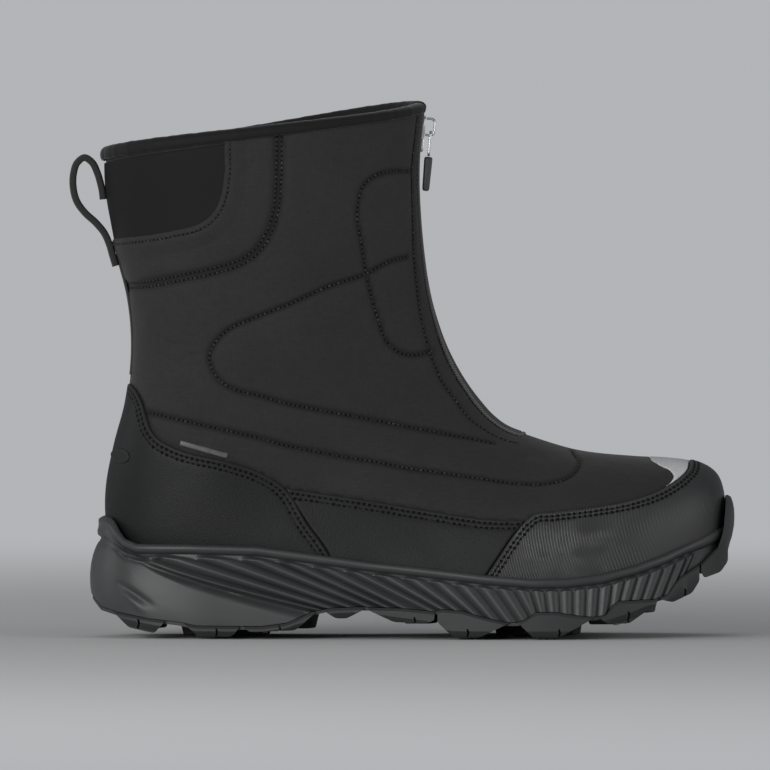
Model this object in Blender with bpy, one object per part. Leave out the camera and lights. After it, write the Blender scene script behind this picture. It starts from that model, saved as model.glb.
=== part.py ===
"""A front-zip winter boot with a studded sole, for the right foot.

Run with: blender --background --python part.py
Lengths are in metres. X runs from heel to toe, Y to the wearer's left and Z up. The model is built with
X = 0 at the back of the sole, Y = 0 on the heel's middle line and Z = 0 at the stud tips, and is moved at
the end so that its origin is the middle of its bounding box, on the floor. A side is -1 for the outer and
1 for the inner.
"""

import math

import bmesh
import bpy
import numpy as np
from mathutils import Matrix, Vector

MM = 0.001

# Driving sizes
SOLE_LENGTH = 299.6 * MM  # midsole, heel to toe, inside the toe bumper
WALL = 3.0 * MM  # padded upper with its lining
GAP = 0.3 * MM  # between neighbouring pieces
OVERLAY = 1.2 * MM  # rubberised synthetic over the upper
PATCH = 0.9 * MM  # smooth fabric at the collar and the back seam's tape
INSOLE = 4.5 * MM
COLLAR_GAP = 0.5 * MM  # under the binding, whose facets don't match the upper's
WEBBING = 3.2 * MM  # doubled
WEBBING_WIDTH = 14.0 * MM
BACKSTAY_WIDTH = 13.0 * MM
BACKSTAY_REACH = 60 * MM  # ahead of the back seam, behind the shin
TUCK = 5.5 * MM  # how deep the overlays go into the midsole's cup
SEAM_SHIFT = 0.4 * MM  # along the boot, between the edges of two overlays
FILM = 0.6 * MM
RING_STEPS = 24  # facets around the upper
INSIDE_STEPS = 18  # and around its inside and the insole
COLLAR_TWIST = 0.8 * MM  # the collar rises towards the inner side at its front
FAR = 90 * MM  # past either side of the boot

# The last's sections, each a slanted plane from the heel and sole side (back) to the toe and shin side
# (front). width is half the section's width, widest its share of the way from back to front, and low_power
# and top_power say how square the curve is below and above the widest place (2 is an ellipse).
LAST_COLUMNS = "front_x front_z front_y back_x back_z back_y width widest low_power top_power".split()
LAST = np.array([
    (294.2, 56.0, 4.8, 294.2, 53.0, 4.8, 1.5, 0.45, 2.0, 2.0),
    (293.3, 68.0, 5.0, 292.5, 42.5, 5.0, 13.0, 0.42, 2.2, 2.1),
    (289.8, 76.0, 5.5, 287.4, 36.0, 5.2, 23.5, 0.40, 2.6, 2.2),
    (281.6, 80.8, 5.8, 279.0, 30.5, 4.9, 32.2, 0.38, 3.0, 2.3),
    (270.0, 82.7, 5.8, 267.0, 24.5, 4.0, 39.6, 0.36, 3.5, 2.3),
    (254.5, 83.6, 5.5, 251.0, 19.0, 2.6, 46.2, 0.34, 4.0, 2.2),
    (236.0, 85.4, 5.0, 231.0, 15.0, 0.4, 50.0, 0.32, 4.0, 2.1),
    (218.6, 89.2, 4.4, 207.0, 13.5, -2.2, 50.4, 0.31, 4.0, 2.0),
    (205.0, 93.4, 3.8, 182.0, 15.5, -4.2, 46.4, 0.30, 4.0, 2.0),
    (195.0, 97.2, 3.2, 158.0, 18.0, -5.2, 42.0, 0.30, 4.0, 2.0),
    (187.8, 102.6, 2.6, 132.0, 21.0, -5.0, 38.6, 0.30, 4.0, 2.0),
    (181.9, 109.4, 2.2, 105.0, 24.5, -4.2, 37.0, 0.30, 4.0, 2.0),
    (176.2, 117.0, 1.8, 75.0, 26.5, -2.6, 36.6, 0.32, 3.8, 2.1),
    (171.0, 125.8, 1.4, 46.0, 27.5, -1.0, 36.4, 0.35, 3.4, 2.1),
    (165.9, 136.4, 1.0, 25.0, 29.0, -0.3, 36.6, 0.38, 2.8, 2.2),
    (161.9, 147.4, 0.7, 12.6, 37.5, 0.0, 37.2, 0.41, 2.4, 2.2),
    (158.9, 158.0, 0.4, 8.6, 52.0, 0.0, 38.0, 0.43, 2.2, 2.2),
    (156.8, 169.0, 0.2, 8.4, 70.0, 0.0, 39.0, 0.45, 2.2, 2.2),
    (155.2, 181.0, 0.0, 12.2, 90.0, 0.0, 40.2, 0.46, 2.2, 2.2),
    (154.0, 192.0, 0.0, 17.0, 108.0, 0.0, 41.6, 0.47, 2.2, 2.2),
    (153.3, 202.0, 0.0, 19.6, 126.0, 0.0, 43.0, 0.48, 2.2, 2.2),
    (153.0, 210.5, 0.0, 19.9, 143.0, 0.0, 44.2, 0.48, 2.2, 2.2),
    (153.0, 218.5, 0.0, 17.9, 160.0, 0.0, 45.4, 0.49, 2.2, 2.2),
    (153.2, 226.0, 0.0, 13.6, 177.0, 0.0, 46.4, 0.49, 2.2, 2.2),
    (153.7, 233.0, 0.0, 10.2, 193.5, 0.0, 47.2, 0.50, 2.2, 2.2),
    (154.4, 240.0, 0.0, 7.6, 208.8, 0.0, 47.8, 0.50, 2.2, 2.2),
    (155.1, 246.0, 0.0, 7.0, 223.6, 0.0, 48.2, 0.50, 2.2, 2.2),
    (155.6, 250.2, 0.0, 6.8, 229.2, 0.0, 48.4, 0.50, 2.2, 2.2),
])
LAST[:, :7] *= MM
TOP = len(LAST) - 1.0
COLLAR = TOP - 1  # the upper's wall ends here, under the binding
ANKLE = 18.0  # the twist starts here

# The sole's plan: x, its middle line's y, and half its width
SOLE_PLAN = MM * np.array([
    (0.0, 0.0, 0.0),
    (12.0, 0.0, 29.0),
    (25.0, -0.2, 36.6),
    (45.0, -0.8, 40.8),
    (70.0, -2.0, 41.6),
    (100.0, -3.8, 41.6),
    (130.0, -4.4, 42.8),
    (160.0, -4.0, 46.8),
    (190.0, -2.6, 52.4),
    (213.0, -0.9, 55.2),
    (235.0, 1.2, 54.4),
    (255.0, 3.2, 49.8),
    (270.0, 4.5, 43.4),
    (284.0, 5.3, 33.4),
    (294.5, 5.0, 20.0),
    (299.6, 4.8, 0.0),
])

# Heights along the sole, each with x and z
LIP = MM * np.array([
    (0.0, 56.5), (4.0, 56.0), (7.0, 54.0), (10.0, 50.6), (14.5, 46.2), (21.0, 44.0), (46.0, 44.0),
    (78.0, 43.2), (110.0, 38.8), (132.0, 35.8), (157.0, 33.2), (184.0, 30.0), (207.0, 28.2), (223.0, 28.4),
    (240.0, 30.4), (256.0, 34.4), (270.0, 39.2), (282.0, 44.6), (291.0, 49.4), (296.0, 53.4), (299.6, 56.0),
])
FOOTBED = MM * np.array([
    (-10.0, 36.2), (46.0, 35.0), (92.0, 33.0), (130.0, 28.0), (156.0, 25.0), (184.0, 22.0), (207.0, 20.5),
    (223.0, 21.0), (248.0, 25.5), (266.0, 31.0), (280.0, 37.0), (290.0, 42.0), (310.0, 54.0),
])
PARTING = MM * np.array([
    (-10.0, 30.0), (0.0, 20.5), (5.0, 14.6), (13.0, 12.2), (28.0, 9.4), (41.0, 8.0), (50.0, 6.2),
    (80.0, 6.0), (92.0, 7.6), (104.0, 12.8), (112.0, 14.6), (125.0, 15.2), (146.0, 14.6), (161.0, 13.0),
    (164.0, 14.2), (174.0, 13.4), (183.0, 10.8), (194.0, 8.2), (200.0, 8.2), (205.0, 10.4), (208.0, 12.8),
    (217.0, 13.0), (227.0, 11.4), (235.0, 10.6), (241.0, 11.6), (244.0, 16.0), (247.0, 18.0), (263.5, 18.6),
    (270.0, 20.8), (273.0, 25.4), (276.0, 28.8), (286.5, 35.4), (294.6, 43.4), (310.0, 62.0),
])
TREAD = MM * np.array([
    (-6.0, 16.0), (3.0, 13.6), (9.0, 9.6), (16.0, 6.4), (26.0, 4.0), (36.0, 2.4), (46.0, 0.9),
    (80.0, 0.9), (90.0, 2.8), (102.0, 5.0), (112.0, 9.0), (122.0, 9.6), (136.0, 8.4), (146.0, 7.0),
    (158.0, 5.6), (168.0, 0.9), (224.0, 0.9), (232.0, 3.4), (243.0, 6.6), (253.0, 9.6), (262.0, 13.4),
    (272.0, 16.6), (281.0, 21.0), (288.0, 24.0), (296.0, 28.5), (303.0, 37.0),
])

# Ribs on the midsole's side: number, x at the bead, x at the outsole. The first edges the smooth heel pod
RIBS = np.array([
    (0, 14.0, 106.0), (1, 38.0, 114.0), (2, 60.0, 122.0), (3, 80.0, 131.0), (4, 99.0, 141.0),
    (5, 115.0, 150.5), (6, 129.5, 159.5), (8, 155.0, 173.0), (11, 184.0, 192.5), (14, 208.0, 209.5),
    (18, 234.6, 233.0), (22, 259.3, 253.6), (26, 281.0, 272.0),
])
RIBS[:, 1:] *= MM
RIB_DEPTH = 1.5 * MM
# Behind and ahead of the ribs, the same two x for the smooth ends
HEEL_FAN = MM * np.array([
    (0.5, 0.5), (1.8, 2.6), (3.8, 9.0), (6.2, 20.0), (8.4, 38.0), (10.6, 60.0), (12.4, 84.0),
])
TOE_FAN = MM * np.array([(285.0, 277.5), (289.6, 283.5), (293.6, 289.5), (297.2, 294.8), (299.2, 298.6)])
BEAD = MM * np.array([(0.0, 2.2), (1.4, 1.1), (3.4, 1.4), (4.6, 3.0)])  # depth, inset
HEEL_LIP_INSET = 2.6 * MM  # more at the very back, fading out along
HEEL_LIP_FADE = 20 * MM
TOE_LIP_OUTSET = 0.8 * MM
WALL_SHARES = (0.3, 1.0)

# The outsole's edge blocks, seen from the side: where each leaves the sheet and how its low face runs
LUG_COLUMNS = "back_x back_z low_back_x low_back_z low_front_x low_front_z front_x front_z reach".split()
LUGS = MM * np.array([
    (11.5, 11.6, 18.0, 5.0, 30.0, 2.4, 35.5, 8.5, 24.0),
    (43.5, 7.5, 51.0, 0.9, 66.0, 0.9, 70.0, 5.4, 22.0),
    (71.6, 5.4, 75.0, 3.2, 96.0, 4.0, 105.5, 12.4, 20.0),
    (108.6, 13.6, 115.0, 9.6, 120.0, 9.6, 128.0, 13.8, 16.0),
    (130.0, 13.6, 142.0, 8.0, 156.0, 7.2, 161.0, 9.0, 19.0),
    (162.4, 8.0, 170.0, 0.9, 182.0, 0.9, 196.6, 8.2, 27.0),
    (201.0, 6.8, 207.0, 0.9, 219.0, 0.9, 235.0, 9.8, 29.0),
    (237.5, 10.4, 242.0, 7.1, 252.0, 7.3, 265.0, 16.4, 26.0),
    (266.5, 18.4, 272.5, 16.9, 281.5, 21.0, 285.0, 26.8, 40.0),
    (285.8, 30.6, 287.4, 28.2, 295.6, 31.0, 301.5, 38.0, 40.0),
])
MIDDLE_LUGS = MM * np.array([  # x, half length, half width
    (26.0, 6.0, 12.0), (50.0, 6.5, 13.0), (74.0, 6.5, 12.0), (96.0, 6.0, 11.0), (153.0, 6.0, 11.0),
    (175.0, 7.0, 14.0), (197.0, 7.0, 16.0), (219.0, 7.0, 16.0), (240.0, 6.5, 14.0), (256.5, 4.5, 12.0),
])
SHEET = 1.5 * MM
LUG_STANDS_OUT = 1.5 * MM
BUMPER = 2.8 * MM
BUMPER_EDGE = MM * np.array([  # from the side
    (284.0, 30.0), (292.0, 40.5), (296.0, 46.5), (296.6, 68.0), (310.0, 68.0), (310.0, 30.0),
])
BUMPER_FRONT = MM * np.array([  # the guard from the front: y from the toe's middle, z
    (-34.0, 20.0), (34.0, 20.0), (31.0, 44.0), (25.0, 55.0), (17.0, 64.0), (11.0, 66.8), (-11.0, 66.8),
    (-17.0, 64.0), (-25.0, 55.0), (-31.0, 44.0),
])

# Studs: x, y, and the height of the block's low face there
STUDS = MM * np.array([
    (57.5, -31.0, 0.9), (57.5, 28.0, 0.9), (50.0, -7.5, 0.9), (50.0, 4.5, 0.9), (82.0, -31.0, 3.35),
    (82.0, 25.5, 3.35), (176.5, -41.0, 0.9), (176.5, 36.0, 0.9), (176.0, -3.0, 0.9), (212.5, -45.0, 0.9),
    (212.5, 44.0, 0.9), (197.0, -10.0, 0.9), (197.0, 6.0, 0.9), (219.0, 0.0, 0.9), (246.0, -37.0, 7.1),
    (246.0, 41.0, 7.1),
])
STUD_STANDS_OUT = 0.9 * MM
STUD_TIP = 1.3 * MM
STUD_BODY = 2.6 * MM
STUD_DEPTH = 3.4 * MM
STUD_SIDES = 6

# Overlay edges seen from the side, each with x and z
COUNTER_EDGE = MM * np.array([
    (114.1, 32.7), (111.6, 38.9), (101.5, 53.5), (90.5, 70.6), (79.3, 77.6), (66.1, 82.1), (38.5, 89.6),
    (31.9, 93.3), (28.4, 98.0), (26.5, 103.7), (24.6, 110.2), (21.6, 115.8), (16.0, 121.0),
])
BAND_TOP = MM * np.array([
    (90.5, 70.6), (98.0, 69.4), (131.3, 64.3), (156.6, 60.0), (185.3, 55.8), (204.0, 55.2),
])
TOE_CAP_EDGE = MM * np.array([
    (181.6, 24.0), (186.0, 30.5), (191.0, 38.0), (198.5, 48.9), (202.7, 53.9), (207.7, 57.7), (215.3, 58.6),
    (237.1, 61.1), (251.4, 63.6), (262.2, 66.8), (270.1, 70.4), (276.6, 74.6), (280.2, 78.4), (280.6, 81.0),
    (277.5, 85.0), (276.0, 95.0),
])
PATCH_EDGE = MM * np.array([
    (63.7, 260.0), (63.7, 231.8), (63.4, 214.7), (62.0, 206.8), (60.0, 201.5), (56.8, 197.0), (52.2, 193.7),
    (39.0, 190.0), (10.4, 185.7), (-5.0, 183.5),
])
REFLECTOR_BACK = MM * np.array([
    (262.0, 95.0), (262.2, 82.6), (266.0, 80.0), (271.2, 77.6), (273.0, 75.2), (272.0, 73.0), (269.0, 70.4),
])
# Small pieces seen from the side: x, z, length and height
BADGE = MM * np.array([15.3, 84.6, 8.2, 7.0])  # the blank oval on the counter
TAG = MM * np.array([53.3, 88.4, 23.0, 2.6])  # the plain tag above the counter
TAG_TILT = math.radians(-15.5)

# The pull loop's middle line, seen from the side
LOOP_PATH = MM * np.array([
    (11.7, 173.6), (10.2, 178.6), (8.6, 184.0), (6.2, 189.2), (2.4, 193.8), (-2.8, 198.6), (-6.6, 204.0),
    (-8.2, 210.2), (-8.1, 216.6), (-6.4, 221.8), (-3.0, 224.3), (0.4, 222.2), (2.6, 217.4), (3.6, 212.4),
    (3.8, 207.8),
])

# The zip, at the front
SLOT_WIDTH = 9.4 * MM
TAPE = 1.2 * MM
TAPE_DEPTH = 1.2 * MM  # how far its face lies under the upper's
TEETH_WIDTH = 4.4 * MM
TEETH = 1.2 * MM
ZIP_END_STATION = 8.35
BINDING_OPENING = 4.6 * MM  # half its width
BINDING = MM * np.array([1.0, 1.4, 0.4, -1.5, -3.4, -4.4, -4.0])  # offset of each point of its section
BINDING_RISE = np.array([0.0, 0.5, 0.9, 1.0, 0.9, 0.5, 0.0])  # and its share of the height

# The slider, in its own frame: up along the zip, out from the shin
SLIDER_STATION = 24.37
SLIDER_LENGTH = 17.0 * MM
SLIDER_WIDTH = 8.6 * MM
SLIDER_NECK = 5.6 * MM
SLIDER = 1.7 * MM
SLIDER_STANDS_OUT = 0.8 * MM
CROWN = 1.2 * MM
CROWN_WIDTH = 2.2 * MM
CROWN_HEIGHT = 7.5 * MM
CROWN_LENGTH = 9.0 * MM
CROWN_START = -1.0 * MM
HINGE_RISE = 1.2 * MM
HINGE_STANDS_OUT = 5.3 * MM
TAB_LEAN = math.radians(5.0)  # how far the hanging tab leans back to the shin
LINK_WIDTH = 5.6 * MM
LINK_LENGTH = 11.4 * MM
LINK_BAR = 1.2 * MM
SLEEVE_LENGTH = 16.0 * MM
SLEEVE_WIDTH = 7.0 * MM
SLEEVE_THICKNESS = (3.3 * MM, 4.0 * MM)  # at its low end and at the link
SLEEVE_BEVEL = 0.6 * MM

FINISHES = {
    "upper": "quilted_fabric",
    "collar_binding": "quilted_fabric",
    "zip_tape": "smooth_fabric",
    "collar_patch": "smooth_fabric",
    "heel_counter": "coated_synthetic",
    "side_band_outer": "coated_synthetic",
    "side_band_inner": "coated_synthetic",
    "heel_badge": "coated_synthetic",
    "toe_cap": "textured_rubber",
    "midsole": "sole_rubber",
    "outsole": "sole_rubber",
    "insole": "dark_felt",
    "backstay": "webbing",
    "pull_loop": "webbing",
    "zip_teeth": "bright_metal",
    "zip_slider": "bright_metal",
    "zip_pull": "bright_metal",
    "pull_sleeve": "grey_rubber",
    "toe_reflector": "reflective",
    "side_tag": "reflective",
}
COLOURS = {  # linear red, green and blue, roughness, metallic
    "quilted_fabric": (0.021, 0.020, 0.022, 0.75, 0.0),
    "smooth_fabric": (0.015, 0.014, 0.016, 0.7, 0.0),
    "coated_synthetic": (0.021, 0.022, 0.024, 0.5, 0.0),
    "textured_rubber": (0.038, 0.039, 0.041, 0.6, 0.0),
    "sole_rubber": (0.045, 0.048, 0.051, 0.6, 0.0),
    "webbing": (0.034, 0.034, 0.037, 0.8, 0.0),
    "bright_metal": (0.62, 0.62, 0.63, 0.3, 1.0),
    "grey_rubber": (0.053, 0.056, 0.054, 0.55, 0.0),
    "reflective": (0.41, 0.41, 0.42, 0.4, 0.0),
    "dark_felt": (0.012, 0.012, 0.013, 0.95, 0.0),
}


def spline(table, at):
    """The smooth curve through a table's rows, at given values of its first column."""
    knots, values = table[:, 0], table[:, 1:]
    slopes = np.gradient(values, knots, axis=0)
    at = np.clip(at, knots[0], knots[-1])
    row = np.clip(np.searchsorted(knots, at, side="right") - 1, 0, len(knots) - 2)
    step = (knots[row + 1] - knots[row])[..., None]
    t = (at - knots[row])[..., None] / step
    start, end = values[row], values[row + 1]
    return (
        (1 + 2 * t) * (1 - t) ** 2 * start
        + t * (1 - t) ** 2 * step * slopes[row]
        + t**2 * (3 - 2 * t) * end
        - t**2 * (1 - t) * step * slopes[row + 1]
    )


def height(table, x):
    """Straight runs between a table's rows of x and z."""
    return np.interp(x, table[:, 0], table[:, 1])


def power(value, exponent):
    return np.sign(value) * np.abs(value) ** exponent


# The upper's surface


def last_points(station, angle):
    """Points on the upper. angle is 0 at the back, a quarter turn at the outer side, a half turn in front."""
    station, angle = np.broadcast_arrays(np.asarray(station, float), np.asarray(angle, float))
    numbered = np.column_stack([np.arange(len(LAST)), LAST])
    row = dict(zip(LAST_COLUMNS, np.moveaxis(spline(numbered, station), -1, 0)))
    across, along = np.sin(angle), np.cos(angle)
    exponent = 2 / np.where(along > 0, row["low_power"], row["top_power"])
    reach = np.where(along > 0, row["widest"], 1 - row["widest"])
    share = row["widest"] - reach * power(along, exponent)
    twist = COLLAR_TWIST * np.sin(2 * angle) * np.clip((station - ANKLE) / (TOP - ANKLE), 0, 1)
    return np.stack([
        row["back_x"] + (row["front_x"] - row["back_x"]) * share,
        row["back_y"] + (row["front_y"] - row["back_y"]) * share - row["width"] * power(across, exponent),
        row["back_z"] + (row["front_z"] - row["back_z"]) * share + twist,
    ], axis=-1)


def surface(station, angle, offset):
    """Points of the upper's surface, moved out along its normal by offset."""
    small_station, small_angle = 1e-3, 0.6 * math.pi / RING_STEPS
    low, high = np.maximum(station - small_station, 0), np.minimum(station + small_station, TOP)
    along = last_points(high, angle) - last_points(low, angle)
    around = last_points(station, angle + small_angle) - last_points(station, angle - small_angle)
    normal = np.cross(around, along)
    normal /= np.linalg.norm(normal, axis=-1, keepdims=True)
    return last_points(station, angle) + offset * normal


def form_stations(end):
    """Fewer sections where the last hardly changes, up the shaft."""
    foot = [0.0, 0.5, 1.1, 1.9, 2.9, 4.0, 5.1, 6.3, 7.5, 8.7]
    instep = [9.8, 10.9, 12.0, 13.1, 14.2, 15.3, 16.6]
    shaft = [18.2, 20.0, 22.0, 24.2]
    return np.array([*foot, *instep, *shaft, end])


# Meshes


def ring_shape(rings, strip_caps=False):
    """Points and faces of a closed body through rings of equal point counts.

    strip_caps fills each end with strips from side to side.
    """
    rings = np.asarray(rings, float)
    count, steps = rings.shape[:2]
    corner = np.arange(count * steps).reshape(count, steps)
    faces = [
        (corner[i, j], corner[i, (j + 1) % steps], corner[i + 1, (j + 1) % steps], corner[i + 1, j])
        for i in range(count - 1)
        for j in range(steps)
    ]
    for end in (corner[0], corner[-1]):
        if strip_caps:
            faces += [(end[j], end[j + 1], end[-j - 1], end[-j]) for j in range(1, steps // 2 - 1)]
            faces.append((end[0], end[1], end[-1]))
            faces.append(tuple(end[steps // 2 - 1 : steps // 2 + 2]))
        else:
            faces.append(tuple(end))
    return rings.reshape(-1, 3), faces


def object_from(name, *shapes):
    """One object of closed bodies that don't meet."""
    points, faces = [], []
    for shape_points, shape_faces in shapes:
        faces += [tuple(int(corner) + len(points) for corner in face) for face in shape_faces]
        points += [tuple(map(float, point)) for point in shape_points]
    mesh = bpy.data.meshes.new(name)
    mesh.from_pydata(points, [], faces)
    work = bmesh.new()
    work.from_mesh(mesh)
    bmesh.ops.remove_doubles(work, verts=work.verts, dist=1e-6)
    bmesh.ops.triangulate(work, faces=work.faces)
    bmesh.ops.recalc_face_normals(work, faces=work.faces)
    work.to_mesh(mesh)
    work.free()
    made = bpy.data.objects.new(name, mesh)
    bpy.context.scene.collection.objects.link(made)
    return made


def boolean(target, other, operation):
    """Adds a Boolean modifier, and marks the other object as a helper that isn't part of the boot."""
    modifier = target.modifiers.new(f"{operation.lower()} {other.name}", "BOOLEAN")
    modifier.operation = operation
    modifier.object = other
    other.hide_render = True
    other.display_type = "WIRE"
    return target


def prism_shape(outline, low=-FAR, high=FAR):
    """A side-view outline of x, z points, extruded across the boot."""
    return ring_shape([[(x, y, z) for x, z in outline] for y in (low, high)])


def form(name, offset, end=COLLAR, steps=RING_STEPS):
    """The whole sock shape of the last, offset outwards, closed at the collar."""
    stations = form_stations(end)[:, None]
    angles = (np.arange(steps) * 2 * math.pi / steps)[None, :]
    rings = surface(stations, angles, offset)
    if end == TOP:
        rings = np.append(rings, rings[-1:] + [0, 0, 12 * MM], axis=0)
    return object_from(name, ring_shape(rings))


def prism(name, outline, low=-FAR, high=FAR):
    return object_from(name, prism_shape(outline, low, high))


def under(name, table, drop=0.0, floor=-30 * MM):
    """Everything below a height table."""
    line = [(x, z - drop) for x, z in table]
    return prism(name, [*line, (table[-1, 0], floor), (table[0, 0], floor)])


def overlay(name, outline, inner, outer, low=-FAR, high=FAR):
    """A layer over the upper, from one offset to another, inside a side-view outline."""
    layer = form(name, outer)
    boolean(layer, form(f"{name}_inside", inner, TOP), "DIFFERENCE")
    return boolean(layer, prism(f"{name}_outline", outline, low, high), "INTERSECT")


def tilted_box(x, z, length, tall, tilt):
    """A box seen from the side, turned about its middle."""
    corners = [(-0.5, -0.5), (0.5, -0.5), (0.5, 0.5), (-0.5, 0.5)]
    half = [(length * a, tall * b) for a, b in corners]
    cos, sin = math.cos(tilt), math.sin(tilt)
    return [(x + a * cos - b * sin, z + a * sin + b * cos) for a, b in half]


def ellipse(x, z, length, tall, steps=12):
    turns = [2 * math.pi * i / steps for i in range(steps)]
    return [(x + length / 2 * math.cos(t), z + tall / 2 * math.sin(t)) for t in turns]


# The sole's plan


def plan_points(x, side, inset):
    """Points x, y of the sole's outline, moved inwards by inset."""
    turns = np.arccos(1 - 2 * SOLE_PLAN[:, 0] / SOLE_LENGTH)
    table = np.column_stack([turns, SOLE_PLAN])
    turn = np.arccos(np.clip(1 - 2 * np.asarray(x) / SOLE_LENGTH, -1, 1))

    def outline(at):
        row = spline(table, at)
        return np.stack([SOLE_LENGTH / 2 * (1 - np.cos(at)), row[..., 1] + side * row[..., 2]], axis=-1)

    small = 1e-3
    tangent = outline(np.minimum(turn + small, math.pi)) - outline(np.maximum(turn - small, 0))
    tangent /= np.linalg.norm(tangent, axis=-1, keepdims=True)
    inward = np.stack([side * tangent[..., 1], -side * tangent[..., 0]], axis=-1)
    return outline(turn) + np.asarray(inset)[..., None] * inward


def plan_middle(x):
    """The outline's middle line and half width at x."""
    return (float(np.interp(x, SOLE_PLAN[:, 0], SOLE_PLAN[:, column])) for column in (1, 2))


def around_sole(values):
    """Values along one side, heel to toe, repeated around the whole outline, with the side of each."""
    both = np.concatenate([values, values[-2:0:-1]])
    side = np.concatenate([-np.ones(len(values)), np.ones(len(values) - 2)])
    return both, side


def sole_block(name, levels, steps=26):
    """A block with the sole's outline. Each level is a height table, a height added to it, and an inset."""
    x, side = around_sole(SOLE_LENGTH / 2 * (1 - np.cos(np.linspace(0, math.pi, steps))))
    rings = []
    for table, added, inset in levels:
        points = plan_points(x, side, np.full(len(x), inset))
        rings.append(np.column_stack([points, height(table, points[:, 0]) + added]))
    return object_from(name, ring_shape(rings, strip_caps=True))


# The pieces


def make_upper():
    upper = form("upper", 0.0)
    boolean(upper, form("upper_inside", -WALL, TOP, INSIDE_STEPS), "DIFFERENCE")
    boolean(upper, under("upper_under", FOOTBED, -GAP), "DIFFERENCE")
    half = SLOT_WIDTH / 2
    slot = prism("zip_slot", front_strip(ZIP_END_STATION, TOP + 0.001), -half, half)
    return boolean(upper, slot, "DIFFERENCE")


def front_strip(start, end, reach=7 * MM):
    """The side-view outline of a strip along the front's middle line, past both faces of the wall."""
    stations = np.linspace(start, min(end, TOP), 24)
    inside = surface(stations, math.pi, -reach)[:, [0, 2]]
    outside = surface(stations, math.pi, reach)[:, [0, 2]]
    if end > TOP:
        inside[-1, 1] += reach
        outside[-1, 1] += reach
    return [*inside, *outside[::-1]]


def rib_columns():
    """Where each column of the midsole's side meets the bead and the outsole, and whether it is a ridge."""
    numbers = np.arange(0, RIBS[-1, 0] + 0.25, 0.5)
    ends = np.array([[0.0, 0.0]]), np.array([[SOLE_LENGTH, SOLE_LENGTH]])
    ribs = spline(RIBS, numbers)
    columns = np.concatenate([ends[0], HEEL_FAN, ribs, TOE_FAN, ends[1]])
    ridge = np.zeros(len(columns))
    ridge[len(HEEL_FAN) + 1 : len(HEEL_FAN) + 1 + len(ribs)] = numbers % 1 * 2
    return columns, ridge


def make_midsole():
    columns, ridge = rib_columns()
    top_x, side = around_sole(columns[:, 0])
    low_x, _ = around_sole(columns[:, 1])
    ridge, _ = around_sole(ridge)
    heel = HEEL_LIP_INSET * np.clip(1 - top_x / HEEL_LIP_FADE, 0, 1)
    toe = TOE_LIP_OUTSET * np.clip(1 - (SOLE_LENGTH - top_x) / HEEL_LIP_FADE, 0, 1)
    rings = []
    for depth, inset in BEAD:
        points = plan_points(top_x, side, inset + heel - toe)
        rings.append(np.column_stack([points, height(LIP, top_x) - depth]))
    start = rings[-1][:, 2]
    end = height(PARTING, low_x) - 4 * MM
    pod = np.clip((RIBS[0, 2] - low_x) / RIBS[0, 2], 0, 1)  # the smooth bulge of the heel
    for share in WALL_SHARES:
        x = top_x + (low_x - top_x) * share
        bulge = 2.4 * MM * pod * math.sin(math.pi * share)
        inset = 2.0 * MM - 1.0 * MM * share - bulge + RIB_DEPTH * (0.4 - ridge) + heel * (1 - share) ** 3
        rings.append(np.column_stack([plan_points(x, side, inset), start + (end - start) * share]))
    midsole = object_from("midsole", ring_shape(rings, strip_caps=True))
    boolean(midsole, under("midsole_under", PARTING), "DIFFERENCE")
    pocket = form("midsole_pocket", GAP + OVERLAY + GAP)
    boolean(pocket, under("footbed", FOOTBED), "DIFFERENCE")
    return boolean(midsole, pocket, "DIFFERENCE")


def make_insole():
    insole = form("insole", -WALL - GAP, COLLAR, INSIDE_STEPS)
    boolean(insole, under("insole_under", FOOTBED, -GAP), "DIFFERENCE")
    return boolean(insole, under("insole_top", FOOTBED, -GAP - INSOLE), "INTERSECT")


def lug_outline(row):
    """An edge block from the side, up past the sheet, which the block's own top then trims."""
    lug = dict(zip(LUG_COLUMNS, row))
    past = 40 * MM
    return [
        (lug["back_x"], lug["back_z"] + past), (lug["back_x"], lug["back_z"]),
        (lug["low_back_x"], lug["low_back_z"]), (lug["low_front_x"], lug["low_front_z"]),
        (lug["front_x"], lug["front_z"]), (lug["front_x"], lug["front_z"] + past),
    ]


def make_outsole():
    outsole = sole_block("outsole", [(PARTING, -12 * MM, 0.8 * MM), (PARTING, 9 * MM, 0.8 * MM)], 24)
    boolean(outsole, under("sheet_low", PARTING, GAP + SHEET), "DIFFERENCE")
    boolean(outsole, make_edge_lugs(), "UNION")
    boolean(outsole, object_from("middle_lugs", *[middle_lug(*row) for row in MIDDLE_LUGS]), "UNION")
    boolean(outsole, under("sheet_top", PARTING, GAP), "INTERSECT")
    boolean(outsole, make_bumper(), "UNION")
    radius, top = STUD_BODY + GAP, STUD_DEPTH + GAP
    holes = [turned(x, y, [(radius, z - 3 * MM), (radius, z - STUD_STANDS_OUT + top)]) for x, y, z in STUDS]
    return boolean(outsole, object_from("stud_holes", *holes), "DIFFERENCE")


def make_edge_lugs():
    """The blocks along both edges, which stand out past the midsole and are bevelled at the ground."""
    blocks = []
    for row in LUGS:
        x = row[2:5:2].mean()
        middle, half = plan_middle(x)
        inner_end = max(half - row[LUG_COLUMNS.index("reach")], GAP / 2)
        for side in (-1, 1):
            ends = sorted((middle + side * inner_end, middle + side * FAR))
            blocks.append(prism_shape(lug_outline(row), *ends))
    levels = [
        (TREAD, -4 * MM, 3.0 * MM), (TREAD, 0.0, 2.0 * MM), (TREAD, 3.0 * MM, -LUG_STANDS_OUT),
        (PARTING, 8 * MM, -LUG_STANDS_OUT),
    ]
    return boolean(sole_block("edge_lugs", levels, 25), object_from("lug_outlines", *blocks), "INTERSECT")


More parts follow.
